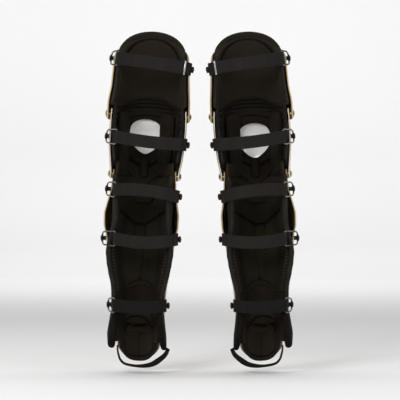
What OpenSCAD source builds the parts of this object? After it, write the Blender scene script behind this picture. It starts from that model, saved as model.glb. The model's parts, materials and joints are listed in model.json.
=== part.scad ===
// Pair of full-length leg guards: thigh, knee, shin, ankle and toe, closed by hooked elastic straps.
// Units are millimetres. +Z points up the leg, and the hard shells bulge towards +Y.
// The straps close the open side, towards -Y. The origin lies on the ground, midway between the guards.

/* [Stance] */
// Distance from the middle of the pair to each guard's centreline, at the ground
foot_gap = 127; // [120:1:170]
// Lean of each guard's top towards the other guard, in degrees
lean = 2.77; // [0:0.01:3.5]

/* [Shells and liners] */
// Thickness of the hard shells
shell_t = 3; // [2.5:0.1:3]
// Gap between a shell and the liner inside it
liner_gap = 2; // [1.5:0.1:2.5]
// Thickness of the padded liners
liner_t = 10; // [8:0.5:11]
// How far round the leg a hard shell reaches from the front, in degrees
shell_reach = 97; // [95:1:100]
// How far round the leg a padded liner reaches from the front, in degrees
liner_reach = 110; // [105:1:112]

/* [Hinges] */
// Height of the rivets that join the thigh and knee shells
thigh_hinge_z = 518; // [516:1:520]
// Height of the rivets that join the knee and shin shells
knee_hinge_z = 398; // [397:1:399]
// Radius of a hinge rivet's shank
hinge_pin_r = 3; // [2.5:0.1:3.5]
// Running clearance round a hinge rivet
hinge_clear = 0.05; // [0.02:0.01:0.1]

/* [Straps] */
// Width of the elastic webbing
strap_w = 25; // [20:1:26]
// Thickness of the elastic webbing
strap_t = 2; // [1.5:0.1:2.2]
// How far behind the leg's centreline the straps cross
strap_back = 34; // [33:1:38]
// Thickness of the wire that the hooks are bent from
wire_d = 3; // [2.5:0.1:3]
// Radius of a strap knob's head
knob_r = 6; // [5:0.5:6]
// Radius of a strap knob's neck
neck_r = 4; // [3.5:0.1:4]
// Width of the stirrup strap that runs under the foot
stirrup_w = 16; // [12:1:20]

/* [Knee window] */
// Height of the middle of the window in the knee liner
window_z = 470; // [465:1:475]
// Width of the window near its top
window_w = 68; // [60:1:70]
// Height of the window
window_h = 74; // [60:1:76]
// How far the window lies towards the outer side of the leg
window_out = 7; // [0:1:8]

/* [Hidden] */
$fn = 48;
SIDES = ["left", "right"];
PARTS = ["thigh_shell", "thigh_pad", "thigh_strap", "thigh_hook", "thigh_strap_knobs", "thigh_strap_rivets",
    "knee_shell", "knee_pad", "knee_side_pads", "knee_strap", "knee_hook", "knee_strap_knobs",
    "knee_strap_rivets", "thigh_hinge_rivets",
    "shin_shell", "shin_pad", "ankle_pad", "ankle_wings", "calf_strap", "shin_strap", "ankle_strap",
    "calf_hook", "shin_hook", "ankle_hook", "shin_strap_knobs", "shin_strap_rivets", "knee_hinge_rivets",
    "stirrup_strap", "toe_shell", "toe_pad"];

gold = [0.62, 0.5, 0.26];
liner_black = [0.12, 0.11, 0.1];
webbing_grey = [0.2, 0.19, 0.18];
nickel = [0.45, 0.44, 0.43];
knob_black = [0.06, 0.06, 0.06];

// Outlines: half-width on the outer side, half-width on the inner side and depth in front, at each height.
// The upper section always laps over the one below it, so each section has its own outline at the lap.
THIGH = [
    [[506, 83], [536, 83], [548, 82], [572, 78], [620, 75], [632, 75], [646, 69], [660, 63], [682, 50]],
    [[506, 81], [548, 80], [572, 78], [632, 75], [646, 70], [660, 64], [682, 50]],
    [[506, 88], [524, 88], [560, 84], [600, 80], [640, 76], [682, 69]]];
KNEE = [
    [[372, 72], [404, 72], [428, 74], [452, 76.5], [488, 77], [534, 76.5]],
    [[372, 66], [404, 66.5], [428, 71], [452, 73.5], [488, 76], [534, 75.5]],
    [[372, 86], [395, 88], [415, 93], [440, 98], [470, 98], [490, 92], [506, 83.5], [518, 81], [534, 80]]];
SHIN = [
    [[118, 56], [150, 57], [176, 59], [200, 65], [224, 69], [248, 71], [275, 73], [292, 79], [320, 80],
        [345, 74], [367, 68], [410, 66]],
    [[118, 50], [150, 50.5], [176, 52], [200, 56], [224, 59], [248, 62], [275, 64], [292, 69], [320, 69.5],
        [345, 65], [367, 61.5], [410, 60]],
    [[118, 60], [150, 60], [200, 64], [248, 72], [284, 78], [320, 80], [350, 82], [372, 80], [398, 78],
        [410, 76]]];
// The shin liner stands away from the shell at the calf, so it has an outline of its own
SHIN_LINER = [
    [[160, 57], [176, 59], [200, 65], [224, 69], [248, 72], [275, 73], [304, 69], [345, 70], [367, 68],
        [395, 66]],
    [[160, 50], [176, 52], [200, 56], [224, 59], [248, 62], [275, 64], [304, 61], [345, 62], [395, 60]],
    [[118, 60], [150, 60], [200, 64], [248, 72], [284, 78], [320, 80], [350, 82], [372, 80], [398, 78]]];
ANKLE = [
    [[50, 57], [80, 61], [104, 58], [114, 56]],
    [[50, 60], [80, 57], [104, 53], [114, 51]],
    [[50, 60], [114, 60]]];
TOE = [
    [[20, 40], [62, 47], [100, 34]],
    [[20, 40], [62, 47], [100, 34]],
    [[20, 86], [62, 70], [100, 58]]];
// Radius of the toe flap's shallow curve, front to back
toe_bow = 30;

// Each strap: height of its outer end, height of its inner end, outline of the section that carries it,
// and how far its hook's bar lies from the leg's centreline
STRAPS = [[628, 613, THIGH, 67], [472, 462, KNEE, 62], [367, 358, SHIN, 59], [269, 273, SHIN, 55],
    [137, 140, SHIN, 50]];
THIGH_STRAP = 0;
KNEE_STRAP = 1;
CALF_STRAP = 2;
SHIN_STRAP = 3;
ANKLE_STRAP = 4;

// Half-width of an outline at height z, on the outer side (sign -1) or the inner side (sign 1)
function half_width(line, z, sign) = lookup(z, sign < 0 ? line[0] : line[1]);
function depth(line, z) = lookup(z, line[2]);

// A point of a section's wall: t degrees round from the front, skin outside (+) or inside (-) the outline.
// A bow of 0 wraps the wall round the leg's centreline, and any other bow gives a shallower curve.
function wall_point(line, t, z, skin, bow) =
    let (r = bow == 0 ? depth(line, z) + skin : bow)
    [(half_width(line, z, sign(t)) + skin) * sin(t), depth(line, z) + skin - r + r * cos(t), z];

// Curved wall between two skins. low and high give the lower and upper edge's height at each angle t.
module wall(line, from, to, low, high, skin_out, skin_in, bow = 0, cols = 20, rows = 9) {
    function angle(i) = from + (to - from) * i / cols;
    function height(i, j) = low(angle(i)) + (high(angle(i)) - low(angle(i))) * j / rows;
    layer = (cols + 1) * (rows + 1);
    points = [for (skin = [skin_out, skin_in]) for (j = [0:rows]) for (i = [0:cols])
        wall_point(line, angle(i), height(i, j), skin, bow)];
    function at(i, j, k) = k * layer + j * (cols + 1) + i;
    function flat(a, b, c, d) = [[a, b, c], [a, c, d]];
    quads = concat(
        [for (j = [0:rows - 1]) for (i = [0:cols - 1])
            flat(at(i, j, 0), at(i + 1, j, 0), at(i + 1, j + 1, 0), at(i, j + 1, 0))],
        [for (j = [0:rows - 1]) for (i = [0:cols - 1])
            flat(at(i, j + 1, 1), at(i + 1, j + 1, 1), at(i + 1, j, 1), at(i, j, 1))],
        [for (i = [0:cols - 1]) flat(at(i, 0, 1), at(i + 1, 0, 1), at(i + 1, 0, 0), at(i, 0, 0))],
        [for (i = [0:cols - 1])
            flat(at(i, rows, 0), at(i + 1, rows, 0), at(i + 1, rows, 1), at(i, rows, 1))],
        [for (j = [0:rows - 1]) flat(at(0, j, 1), at(0, j, 0), at(0, j + 1, 0), at(0, j + 1, 1))],
        [for (j = [0:rows - 1])
            flat(at(cols, j, 0), at(cols, j, 1), at(cols, j + 1, 1), at(cols, j + 1, 0))]);
    polyhedron(points, [for (q = quads) for (face = q) face]);
}

// Straight round bar between two points
module bar(a, b, r) {
    d = b - a;
    translate(a)
        rotate([0, acos(d.z / norm(d)), atan2(d.y, d.x)])
        cylinder(h = norm(d), r = r);
}

// Cylinder along X from x0 to x1, at depth y and height z
module cross_bar(x0, x1, y, z, r) {
    translate([min(x0, x1), y, z])
        rotate([0, 90, 0])
        cylinder(h = abs(x1 - x0), r = r);
}

// Stands a left guard's part in the pair, or mirrors it for the right guard
module place(side) {
    mirror([side == "right" ? 1 : 0, 0, 0])
        translate([-foot_gap, 0, 0])
        rotate([0, lean, 0])
        children();
}

// ---- Strap stations -------------------------------------------------------------------------------

hook_neck_y = -5;
hook_far_y = 5;
hook_bar_y = -35;
hook_bend_y = -15;
hook_bend_out = 2.5;
hook_far_out = 6;
sleeve_gap = 0.3;
knob_h = 9;

function strap_mid(n) = (STRAPS[n][0] + STRAPS[n][1]) / 2;
function strap_z(n, sign) = sign < 0 ? STRAPS[n][0] : STRAPS[n][1];
// Half-width of the shell where a knob sits, and the widest that the shell gets beside the hook
function seat_x(n, sign) = half_width(STRAPS[n][2], strap_z(n, sign), sign);
function strap_side(n, sign) = max([for (dz = [-12:6:12])
    half_width(STRAPS[n][2], strap_z(n, sign) + dz, sign)]);
function strap_tilt(n) = atan((STRAPS[n][0] - STRAPS[n][1]) / (strap_side(n, -1) + strap_side(n, 1)));

// Frame of a strap: its length along X, its width along Z
module strap_frame(n) {
    translate([0, 0, strap_mid(n)])
        rotate([0, strap_tilt(n), 0])
        children();
}

// Strip of webbing that follows points in plan, standing strap_w high
module web_strip(route, thick, width) {
    last = len(route) - 1;
    function unit(v) = v / norm(v);
    function heading(i) = unit(route[min(i + 1, last)] - route[max(i - 1, 0)]);
    function beside(i, d) = route[i] + d * [-heading(i).y, heading(i).x];
    translate([0, 0, -width / 2])
        linear_extrude(width)
        polygon(concat(
            [for (i = [0:last]) beside(i, thick / 2)],
            [for (i = [last:-1:0]) beside(i, -thick / 2)]));
}

// Elastic strap: sewn round its hook's bar at the outer side and held by a knob at the inner side
module strap(n) {
    xo = -STRAPS[n][3];
    xi = strap_side(n, 1);
    loop_r = wire_d / 2 + sleeve_gap + strap_t;
    seat = xi + 0.8 + strap_t / 2 + strap_w / 2 * sin(abs(strap_tilt(n)));
    color(webbing_grey)
    strap_frame(n)
    difference() {
        union() {
            translate([xo, hook_bar_y, -strap_w / 2])
                cylinder(h = strap_w, r = loop_r);
            web_strip([[xo, -strap_back - 3], [xo + 12, -strap_back - 3.5], [xo + 30, -strap_back - 4.5],
                [0, -strap_back - 5], [xi - 36, -strap_back - 4], [xi - 19, -strap_back - 1.5],
                [xi - 8, -strap_back + 2], [xi - 1.5, -strap_back + 10], [seat, -strap_back + 18],
                [seat, 0]], strap_t, strap_w);
        }
        translate([xo, hook_bar_y, -strap_w])
            cylinder(h = 2 * strap_w, r = wire_d / 2 + sleeve_gap);
        cross_bar(xi - 5, xi + 20, hook_neck_y - 3, 0, neck_r);
    }
}

// Closed ring of round wire through corners, each bent to a small radius. side faces away from its plane.
module wire_ring(corners, r, bend_r, side) {
    count = len(corners);
    steps = 4;
    function unit(v) = v / norm(v);
    function corner(i) = corners[(i + count) % count];
    function bent(i, q) =
        let (a = corner(i) + bend_r * unit(corner(i - 1) - corner(i)),
            b = corner(i) + bend_r * unit(corner(i + 1) - corner(i)))
        (1 - q) * (1 - q) * a + 2 * q * (1 - q) * corner(i) + q * q * b;
    path = [for (i = [0:count - 1]) for (j = [0:steps]) bent(i, j / steps)];
    last = len(path);
    sides = 10;
    function heading(k) = unit(path[(k + 1) % last] - path[(k + last - 1) % last]);
    function beside(k) = unit(side - (side * heading(k)) * heading(k));
    function rim(k, m) = path[k] + r * (cos(360 * m / sides) * beside(k)
        + sin(360 * m / sides) * cross(heading(k), beside(k)));
    points = [for (k = [0:last - 1]) for (m = [0:sides - 1]) rim(k, m)];
    function at(k, m) = (k % last) * sides + m % sides;
    polyhedron(points, [for (k = [0:last - 1]) for (m = [0:sides - 1])
        for (face = [[at(k, m), at(k + 1, m), at(k + 1, m + 1)], [at(k, m), at(k + 1, m + 1), at(k, m + 1)]])
        face]);
}

// Wire hook: a closed ring, bent round the shell's edge, whose long bar lies in the strap's sewn loop
module hook(n) {
    side = strap_side(n, -1);
    long_h = strap_w / 2 + 2.5;
    bend_h = 13;
    short_h = 10;
    near = [-STRAPS[n][3], hook_bar_y];
    bend = [-side - hook_bend_out, hook_bend_y];
    far = [-side - hook_far_out, hook_far_y];
    color(nickel)
    strap_frame(n)
    wire_ring([[near.x, near.y, -long_h], [near.x, near.y, long_h], [bend.x, bend.y, bend_h],
        [far.x, far.y, short_h], [far.x, far.y, -short_h], [bend.x, bend.y, -bend_h]],
        wire_d / 2, 2.5, [-1, -0.3, 0]);
}

// Round knobs at both ends of a strap, each with a neck that stands off the shell
module strap_knobs(list) {
    color(knob_black)
    for (n = list)
        strap_frame(n)
        for (sign = [-1, 1])
            difference() {
                union() {
                    cross_bar(sign * neck_x(n, sign), sign * (strap_side(n, sign) + knob_h - 3.5),
                        knob_y(sign), 0, neck_r);
                    cross_bar(sign * (strap_side(n, sign) + knob_h - 3.5),
                        sign * (strap_side(n, sign) + knob_h), knob_y(sign), 0, knob_r);
                }
                cross_bar(sign * (neck_x(n, sign) - 1), sign * (strap_side(n, sign) + knob_h + 1),
                    knob_y(sign), 0, strap_rivet_r + rivet_gap);
            }
}

strap_rivet_r = 2;
rivet_gap = 0.1;
// Where a knob's neck starts: just clear of the widest part of the shell under it
function neck_x(n, sign) = 1 + max([for (dz = [-4, 0, 4])
    half_width(STRAPS[n][2], strap_z(n, sign) + dz, sign)]);
// The hook ring closes round the outer knob, and the inner knob sits a little further back
function knob_y(sign) = sign < 0 ? hook_neck_y : hook_neck_y - 3;

// Rivets that hold the knobs to the shell, headed outside and flush inside
module strap_rivets(list) {
    color(nickel)
    for (n = list)
        strap_frame(n)
        for (sign = [-1, 1]) {
            inside = seat_x(n, sign) - shell_t;
            outside = strap_side(n, sign) + knob_h;
            cross_bar(sign * (inside + 0.4), sign * (outside + rivet_gap), knob_y(sign), 0, strap_rivet_r);
            cross_bar(sign * (outside + rivet_gap), sign * (outside + 1.2), knob_y(sign), 0, 3.4);
        }
}

// Holes for those rivets
module strap_rivet_holes(list) {
    for (n = list)
        strap_frame(n)
        for (sign = [-1, 1])
            cross_bar(sign * (seat_x(n, sign) - 8), sign * (strap_side(n, sign) + 8), knob_y(sign), 0,
                strap_rivet_r + rivet_gap);
}

// ---- Hinges ---------------------------------------------------------------------------------------

boss_r = 10;

// Flat round boss on a lap: upper is the outline outside, lower is the outline inside
module outer_boss(upper, z) {
    for (sign = [-1, 1])
        cross_bar(sign * (half_width(upper, z, sign) - shell_t + 0.3),
            sign * (half_width(upper, z, sign) + 1.2), 0, z, boss_r);
}

module inner_boss(lower, z) {
    for (sign = [-1, 1])
        cross_bar(sign * (half_width(lower, z, sign) - shell_t - 0.2),
            sign * (half_width(lower, z, sign) + 0.6), 0, z, boss_r);
}

module hinge_holes(upper, z, r) {
    for (sign = [-1, 1])
        cross_bar(sign * (half_width(upper, z, sign) - 25), sign * (half_width(upper, z, sign) + 8), 0, z, r);
}

module hinge_rivets(upper, lower, z) {
    color(nickel)
    for (sign = [-1, 1]) {
        outside = half_width(upper, z, sign) + 1.3;
        inside = half_width(lower, z, sign) - shell_t - 0.9;
        cross_bar(sign * inside, sign * (outside + 0.5), 0, z, hinge_pin_r);
        cross_bar(sign * (outside + 0.3), sign * (outside + 2), 0, z, 6.5);
        cross_bar(sign * (inside - 0.8), sign * inside, 0, z, 5);
    }
}

// ---- Thigh section --------------------------------------------------------------------------------

// Both thigh edges: a domed top and a bottom arch
function dome(t, side_z, rise) = side_z + rise * (abs(t) < 90 ? cos(t) : 0);
// Eases from a value at the front to a value at the side, between two angles
function ease(t, front, side, start, end) =
    let (u = max(0, min(1, (abs(t) - start) / (end - start))))
    front + (side - front) * u * u * (3 - 2 * u);

module thigh_shell() {
    color(gold)
    difference() {
        union() {
            wall(THIGH, -shell_reach, shell_reach, function (t) 506, function (t) dome(t, 638, 36),
                0, -shell_t);
            outer_boss(THIGH, thigh_hinge_z);
        }
        hinge_holes(THIGH, thigh_hinge_z, hinge_pin_r + hinge_clear);
        strap_rivet_holes([THIGH_STRAP]);
    }
}

module thigh_pad() {
    color(liner_black)
    wall(THIGH, -liner_reach, liner_reach, function (t) ease(t, 553, 533, 15, 75),
        function (t) dome(t, 642, 40), -shell_t - liner_gap, -shell_t - liner_gap - liner_t);
}

// ---- Knee section ---------------------------------------------------------------------------------

module knee_shell() {
    color(gold)
    difference() {
        union() {
            wall(KNEE, -shell_reach, shell_reach, function (t) ease(t, 372, 388, 40, 62),
                function (t) ease(t, 534, 529, 40, 62), 0, -shell_t);
            inner_boss(KNEE, thigh_hinge_z);
            outer_boss(KNEE, knee_hinge_z);
        }
        hinge_holes(KNEE, thigh_hinge_z, hinge_pin_r + hinge_clear);
        hinge_holes(KNEE, knee_hinge_z, hinge_pin_r + hinge_clear);
        strap_rivet_holes([KNEE_STRAP]);
    }
}

// Rounded shield: a flat dome above a tapering tip
module window_outline() {
    half = window_w / 2;
    top = window_h * 0.42;
    tip = window_h * 0.58;
    polygon(concat(
        [for (a = [0:12:180]) [half * cos(a), top * pow(sin(a), 0.7)]],
        [for (a = [192:12:348]) [half * cos(a) * (1 - 0.28 * pow(-sin(a), 2)), tip * sin(a)]]));
}

// Thin liner round the window, which the side pads are sewn on
knee_base_t = 6;
module knee_pad() {
    color(liner_black)
    difference() {
        wall(KNEE, -64, 64, function (t) ease(t, 400, 410, 20, 64), function (t) ease(t, 538, 520, 10, 64),
            -shell_t - liner_gap, -shell_t - liner_gap - knee_base_t);
        translate([-window_out, 130, window_z])
            rotate([90, 0, 0])
            linear_extrude(100)
            window_outline();
    }
}

// Panel on one side of the leg, from angle near to angle far, rounded above and below
module side_panel(sign, near, far, bottom, top, round, skin_out, skin_in) {
    function bulge(t) = round * pow(abs(2 * abs(t) - near - far) / (far - near), 2);
    wall(KNEE, sign < 0 ? -far : near, sign < 0 ? -near : far, function (t) bottom + bulge(t),
        function (t) top - bulge(t), skin_out, skin_in, cols = 6);
}

// Long pads on both sides of the window, and thinner wings behind them at the sides of the leg
module knee_side_pads() {
    base = -shell_t - liner_gap - knee_base_t - 0.8;
    color(liner_black)
    for (sign = [-1, 1]) {
        side_panel(sign, 34, 62, 412, 522, 12, base, base - 7);
        side_panel(sign, 70, 100, 414, 504, 14, -shell_t - liner_gap, -shell_t - liner_gap - 7);
    }
}

// ---- Shin section ---------------------------------------------------------------------------------

module shin_shell() {
    color(gold)
    difference() {
        union() {
            wall(SHIN, -shell_reach, shell_reach, function (t) 118, function (t) ease(t, 395, 408, 50, 75),
                0, -shell_t, rows = 12);
            inner_boss(SHIN, knee_hinge_z);
        }
        hinge_holes(SHIN, knee_hinge_z, hinge_pin_r + hinge_clear);
        strap_rivet_holes([CALF_STRAP, SHIN_STRAP, ANKLE_STRAP]);
    }
}

module shin_pad() {
    color(liner_black)
    wall(SHIN_LINER, -liner_reach, liner_reach, function (t) ease(t, 186, 164, 0, 60),
        function (t) ease(t, 388, 380, 40, 70), -shell_t - liner_gap, -shell_t - liner_gap - liner_t,
        rows = 12);
}

module ankle_pad() {
    color(liner_black)
    wall(SHIN, -64, 64, function (t) 108, function (t) ease(t, 184, 162, 0, 60),
        -shell_t - liner_gap, -shell_t - liner_gap - liner_t + 2, cols = 14, rows = 6);
}

// Padded wings that cup the ankle bones, rounded below
module ankle_wings() {
    color(liner_black)
    for (sign = [-1, 1])
        wall(ANKLE, sign * (sign < 0 ? 118 : 68), sign * (sign < 0 ? 68 : 118),
            function (t) 50 + 22 * pow(abs(abs(t) - 93) / 25, 2), function (t) 114, -0.5, -13,
            cols = 8, rows = 6);
}

module stirrup_strap() {
    color(webbing_grey)
    rotate([90, 0, 0])
        web_strip([[-41, 49], [-38, 30], [-33, 17], [-24, 9], [-5, 5], [15, 6], [32, 11], [46, 21],
            [57, 34], [61, 48]], strap_t, stirrup_w);
}

// ---- Toe section ----------------------------------------------------------------------------------

module toe_wall(skin_out, skin_in, low_z) {
    wall(TOE, -72, 72, function (t) low_z + 26 * pow(abs(t) / 72, 2.5), function (t) 100 - 6 * pow(t / 72, 2),
        skin_out, skin_in, bow = toe_bow, cols = 14, rows = 7);
}

module toe_shell() {
    color(gold)
    toe_wall(0, -shell_t, 24);
}

module toe_pad() {
    color(liner_black)
    toe_wall(-shell_t - 1, -shell_t - 9, 21);
}

module part(name) {
    if (name == "thigh_shell") thigh_shell();
    if (name == "thigh_pad") thigh_pad();
    if (name == "thigh_strap") strap(THIGH_STRAP);
    if (name == "thigh_hook") hook(THIGH_STRAP);
    if (name == "thigh_strap_knobs") strap_knobs([THIGH_STRAP]);
    if (name == "thigh_strap_rivets") strap_rivets([THIGH_STRAP]);
    if (name == "knee_shell") knee_shell();
    if (name == "knee_pad") knee_pad();
    if (name == "knee_side_pads") knee_side_pads();
    if (name == "knee_strap") strap(KNEE_STRAP);
    if (name == "knee_hook") hook(KNEE_STRAP);
    if (name == "knee_strap_knobs") strap_knobs([KNEE_STRAP]);
    if (name == "knee_strap_rivets") strap_rivets([KNEE_STRAP]);
    if (name == "thigh_hinge_rivets") hinge_rivets(THIGH, KNEE, thigh_hinge_z);
    if (name == "shin_shell") shin_shell();
    if (name == "shin_pad") shin_pad();
    if (name == "ankle_pad") ankle_pad();
    if (name == "ankle_wings") ankle_wings();
    if (name == "calf_strap") strap(CALF_STRAP);
    if (name == "shin_strap") strap(SHIN_STRAP);
    if (name == "ankle_strap") strap(ANKLE_STRAP);
    if (name == "calf_hook") hook(CALF_STRAP);
    if (name == "shin_hook") hook(SHIN_STRAP);
    if (name == "ankle_hook") hook(ANKLE_STRAP);
    if (name == "shin_strap_knobs") strap_knobs([CALF_STRAP, SHIN_STRAP, ANKLE_STRAP]);
    if (name == "shin_strap_rivets") strap_rivets([CALF_STRAP, SHIN_STRAP, ANKLE_STRAP]);
    if (name == "knee_hinge_rivets") hinge_rivets(KNEE, SHIN, knee_hinge_z);
    if (name == "stirrup_strap") stirrup_strap();
    if (name == "toe_shell") toe_shell();
    if (name == "toe_pad") toe_pad();
}

for (s = SIDES)
    for (p = PARTS)
        place(s) part(p);
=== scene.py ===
# %% [markdown]
# A pair of leg guards for a sports player, seen from the open side that the leg goes in.
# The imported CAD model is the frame: it holds every real size and every joint. This script never moves a CAD
# part. It dresses the frame with padding, cloth, webbing, wire and painted shells, piece by piece.

import bpy
import bmesh
import json
import math
import numpy as np
from mathutils import Matrix, Vector


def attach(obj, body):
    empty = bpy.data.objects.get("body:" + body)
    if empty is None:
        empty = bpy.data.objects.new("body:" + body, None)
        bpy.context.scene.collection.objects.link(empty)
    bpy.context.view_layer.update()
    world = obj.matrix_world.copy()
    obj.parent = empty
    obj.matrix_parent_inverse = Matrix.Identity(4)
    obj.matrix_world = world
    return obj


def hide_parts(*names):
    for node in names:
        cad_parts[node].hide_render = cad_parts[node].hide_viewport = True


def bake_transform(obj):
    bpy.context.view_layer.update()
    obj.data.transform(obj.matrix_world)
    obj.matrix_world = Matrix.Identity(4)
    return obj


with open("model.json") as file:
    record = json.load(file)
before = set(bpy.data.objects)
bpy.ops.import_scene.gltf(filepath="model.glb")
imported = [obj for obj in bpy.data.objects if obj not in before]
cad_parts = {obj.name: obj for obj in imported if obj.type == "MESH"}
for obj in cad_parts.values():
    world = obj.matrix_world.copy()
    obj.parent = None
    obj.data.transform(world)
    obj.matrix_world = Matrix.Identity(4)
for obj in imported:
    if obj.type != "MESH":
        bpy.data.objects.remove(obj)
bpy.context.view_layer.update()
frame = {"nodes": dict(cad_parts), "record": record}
MM = 0.001

# %% [markdown]
# Both guards are the same shape, mirrored. It is easier to model one guard standing upright on its own
# centreline, in millimetres, and then to stand a copy of each piece in its place. Z runs up the leg, X from
# the outer side (minus) to the inner side (plus), and Y towards the shells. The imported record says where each
# leg runs, so the two matrices come from there.

# %% Stand each guard in the pair
SIDES = ("left", "right")
mounts = {mount["name"]: mount for mount in frame["record"]["mounts"]}
leg = mounts["left_leg_channel"]
up = Vector(leg["axis"]).normalized()
foot = Vector(leg["pos_m"]) - up * (leg["pos_m"][2] / up.z)
turn = Matrix(((up.z, 0, up.x), (0, 1, 0), (-up.x, 0, up.z))).to_4x4()
MIRROR = Matrix.Diagonal((-1, 1, 1, 1))
STAND = {"left": Matrix.Translation(foot) @ turn @ Matrix.Scale(MM, 4)}
STAND["right"] = MIRROR @ STAND["left"]


print("the left guard stands at", tuple(round(c, 4) for c in foot))

# %% [markdown]
# A guard is a stack of curved walls: thigh, knee, shin, ankle and toe. Each wall follows an outline that says,
# at every height, how far the guard reaches to the outer side, to the inner side and to the front. The tables
# hold the same sizes as the CAD part, and a running average rounds off their corners.

# %% Outlines of the sections
BLUR = 9


def outline(table):
    heights, widths = np.array(table, float).T
    fine = np.arange(heights[0] - 30, heights[-1] + 31)
    kernel = np.hanning(2 * BLUR + 3)[1:-1]
    padded = np.pad(np.interp(fine, heights, widths), BLUR, mode="edge")
    return fine, np.convolve(padded, kernel / kernel.sum(), mode="valid")


SHELL_T = 3
THIGH = [outline(table) for table in (
    [(506, 83), (536, 83), (548, 82), (572, 78), (620, 75), (640, 73), (656, 71), (670, 74), (690, 76)],
    [(506, 81), (548, 80), (572, 78), (620, 75), (640, 73), (656, 71), (670, 74), (690, 76)],
    [(506, 88), (524, 88), (560, 84), (600, 80), (640, 76), (682, 69)])]
KNEE = [outline(table) for table in (
    [(372, 72), (404, 72), (428, 74), (452, 76.5), (488, 77), (534, 76.5)],
    [(372, 66), (404, 66.5), (428, 71), (452, 73.5), (488, 76), (534, 75.5)],
    [(372, 86), (395, 88), (415, 93), (440, 98), (470, 98), (490, 92), (506, 83.5), (518, 81), (534, 80)])]
SHIN = [outline(table) for table in (
    [(118, 56), (150, 57), (176, 59), (200, 65), (224, 69), (248, 71), (275, 73), (292, 79), (320, 80),
     (345, 74), (367, 68), (410, 66)],
    [(118, 50), (150, 50.5), (176, 52), (200, 56), (224, 59), (248, 62), (275, 64), (292, 69), (320, 69.5),
     (345, 65), (367, 61.5), (410, 60)],
    [(118, 60), (150, 60), (200, 64), (248, 72), (284, 78), (320, 80), (350, 82), (372, 80), (398, 78),
     (410, 76)])]
SHIN_LINER = [outline(table) for table in (
    [(160, 57), (176, 59), (200, 65), (224, 69), (248, 72), (275, 73), (304, 69), (345, 70), (367, 68),
     (395, 66)],
    [(160, 50), (176, 52), (200, 56), (224, 59), (248, 62), (275, 64), (304, 61), (345, 62), (395, 60)],
    [(118, 60), (150, 60), (200, 64), (248, 72), (284, 78), (320, 80), (350, 82), (372, 80), (398, 78)])]
ANKLE = [outline(table) for table in (
    [(40, 57), (80, 61), (104, 58), (120, 56)],
    [(40, 60), (80, 57), (104, 53), (120, 51)],
    [(40, 60), (120, 60)])]


def wall_point(section, t, z, skin):
    outer, inner, front = section
    half = np.where(t < 0, np.interp(z, *outer), np.interp(z, *inner)) + skin
    turn_by = np.radians(t)
    return np.stack([half * np.sin(turn_by), (np.interp(z, *front) + skin) * np.cos(turn_by), z + 0 * t], -1)


def ease(t, front, side, start, end):
    """A height that goes softly from its front value to its side value between two angles."""
    part = np.clip((np.abs(t) - start) / (end - start), 0, 1)
    return front + (side - front) * part * part * (3 - 2 * part)


print("half-width of the knee at its window:", round(float(np.interp(470, *KNEE[0])), 1), "mm")

# %% [markdown]
# Most pieces here are sheets with thickness, bent round the leg. A grid from create_grid is a flat sheet, and
# extrude_face_region gives it a second layer and four closed edges. Each vertex then knows three things: how
# far it is across (u), along (v), and which layer it is on (k). One function for a piece turns those three
# into a place and a cloth coordinate in metres, so the weave keeps its real size.

# %% Grids that turn into pieces
def store_painted_shade(mesh, painted_shade):
    """Stores the painted shade of each point, 0 to 1: how much the cloth's colour is darkened in seams, grooves
    and along some edges.
    """
    mark = mesh.attributes.new("painted_shade", "FLOAT", "POINT")
    mark.data.foreach_set("value", np.clip(painted_shade, 0, 1).astype(np.float32))


def read_points(mesh):
    flat = np.empty(len(mesh.vertices) * 3, np.float32)
    mesh.vertices.foreach_get("co", flat)
    return flat.reshape(-1, 3).astype(float)


def close_mesh(name, bm):
    mesh = bpy.data.meshes.new(name)
    bm.to_mesh(mesh)
    bm.free()
    return mesh


def in_scene(name, data):
    thing = bpy.data.objects.new(name, data)
    bpy.context.scene.collection.objects.link(thing)
    return thing


def grid_mesh(name, across, along, shape, layers=2, weld=False):
    """weld closes a grid whose two ends meet, so the walls between its ends are left out."""
    bm = bmesh.new()
    bmesh.ops.create_grid(bm, x_segments=across, y_segments=along, size=0.5)
    if layers == 2:
        top = bmesh.ops.extrude_face_region(bm, geom=bm.faces[:])
        moved = [v for v in top["geom"] if isinstance(v, bmesh.types.BMVert)]
        bmesh.ops.translate(bm, vec=(0, 0, 1), verts=moved)
        if weld:
            walls = [f for f in bm.faces if all(abs(v.co.x) > 0.4999 for v in f.verts)]
            bmesh.ops.delete(bm, geom=walls, context="FACES")
    mesh = close_mesh(name, bm)
    flat = read_points(mesh)
    # A shape may also give a third value, the painted shade: darkness painted into the cloth's colour.
    place, cloth, *painted_shade = shape(flat[:, 0] + 0.5, flat[:, 1] + 0.5, flat[:, 2])
    assert np.isfinite(place).all(), f"{name} has points that are not numbers"
    store_painted_shade(mesh, painted_shade[0] if painted_shade else np.zeros(len(flat)))
    mesh.vertices.foreach_set("co", place.astype(np.float32).ravel())
    corner = np.empty(len(mesh.loops), np.int32)
    mesh.loops.foreach_get("vertex_index", corner)
    layer = mesh.uv_layers.new(name="cloth")
    layer.data.foreach_set("uv", (cloth[corner] * MM).astype(np.float32).ravel())
    bm = bmesh.new()
    bm.from_mesh(mesh)
    if weld:
        bmesh.ops.remove_doubles(bm, verts=bm.verts, dist=1e-4)
        open_edges = [e for e in bm.edges if e.is_boundary]
        bmesh.ops.holes_fill(bm, edges=open_edges, sides=0)
    bmesh.ops.recalc_face_normals(bm, faces=bm.faces)
    bm.to_mesh(mesh)
    bm.free()
    return mesh


def crown(distance, reach):
    part = np.clip(distance / reach, 0, 1)
    return np.sqrt(1 - (1 - part) ** 2)


SEWN_EDGE = 0.22


def rounded_rim(distance, reach):
    """A crown that keeps a fifth of its height at the very edge, as a sewn edge does."""
    return SEWN_EDGE + (1 - SEWN_EDGE) * crown(distance, reach)


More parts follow.
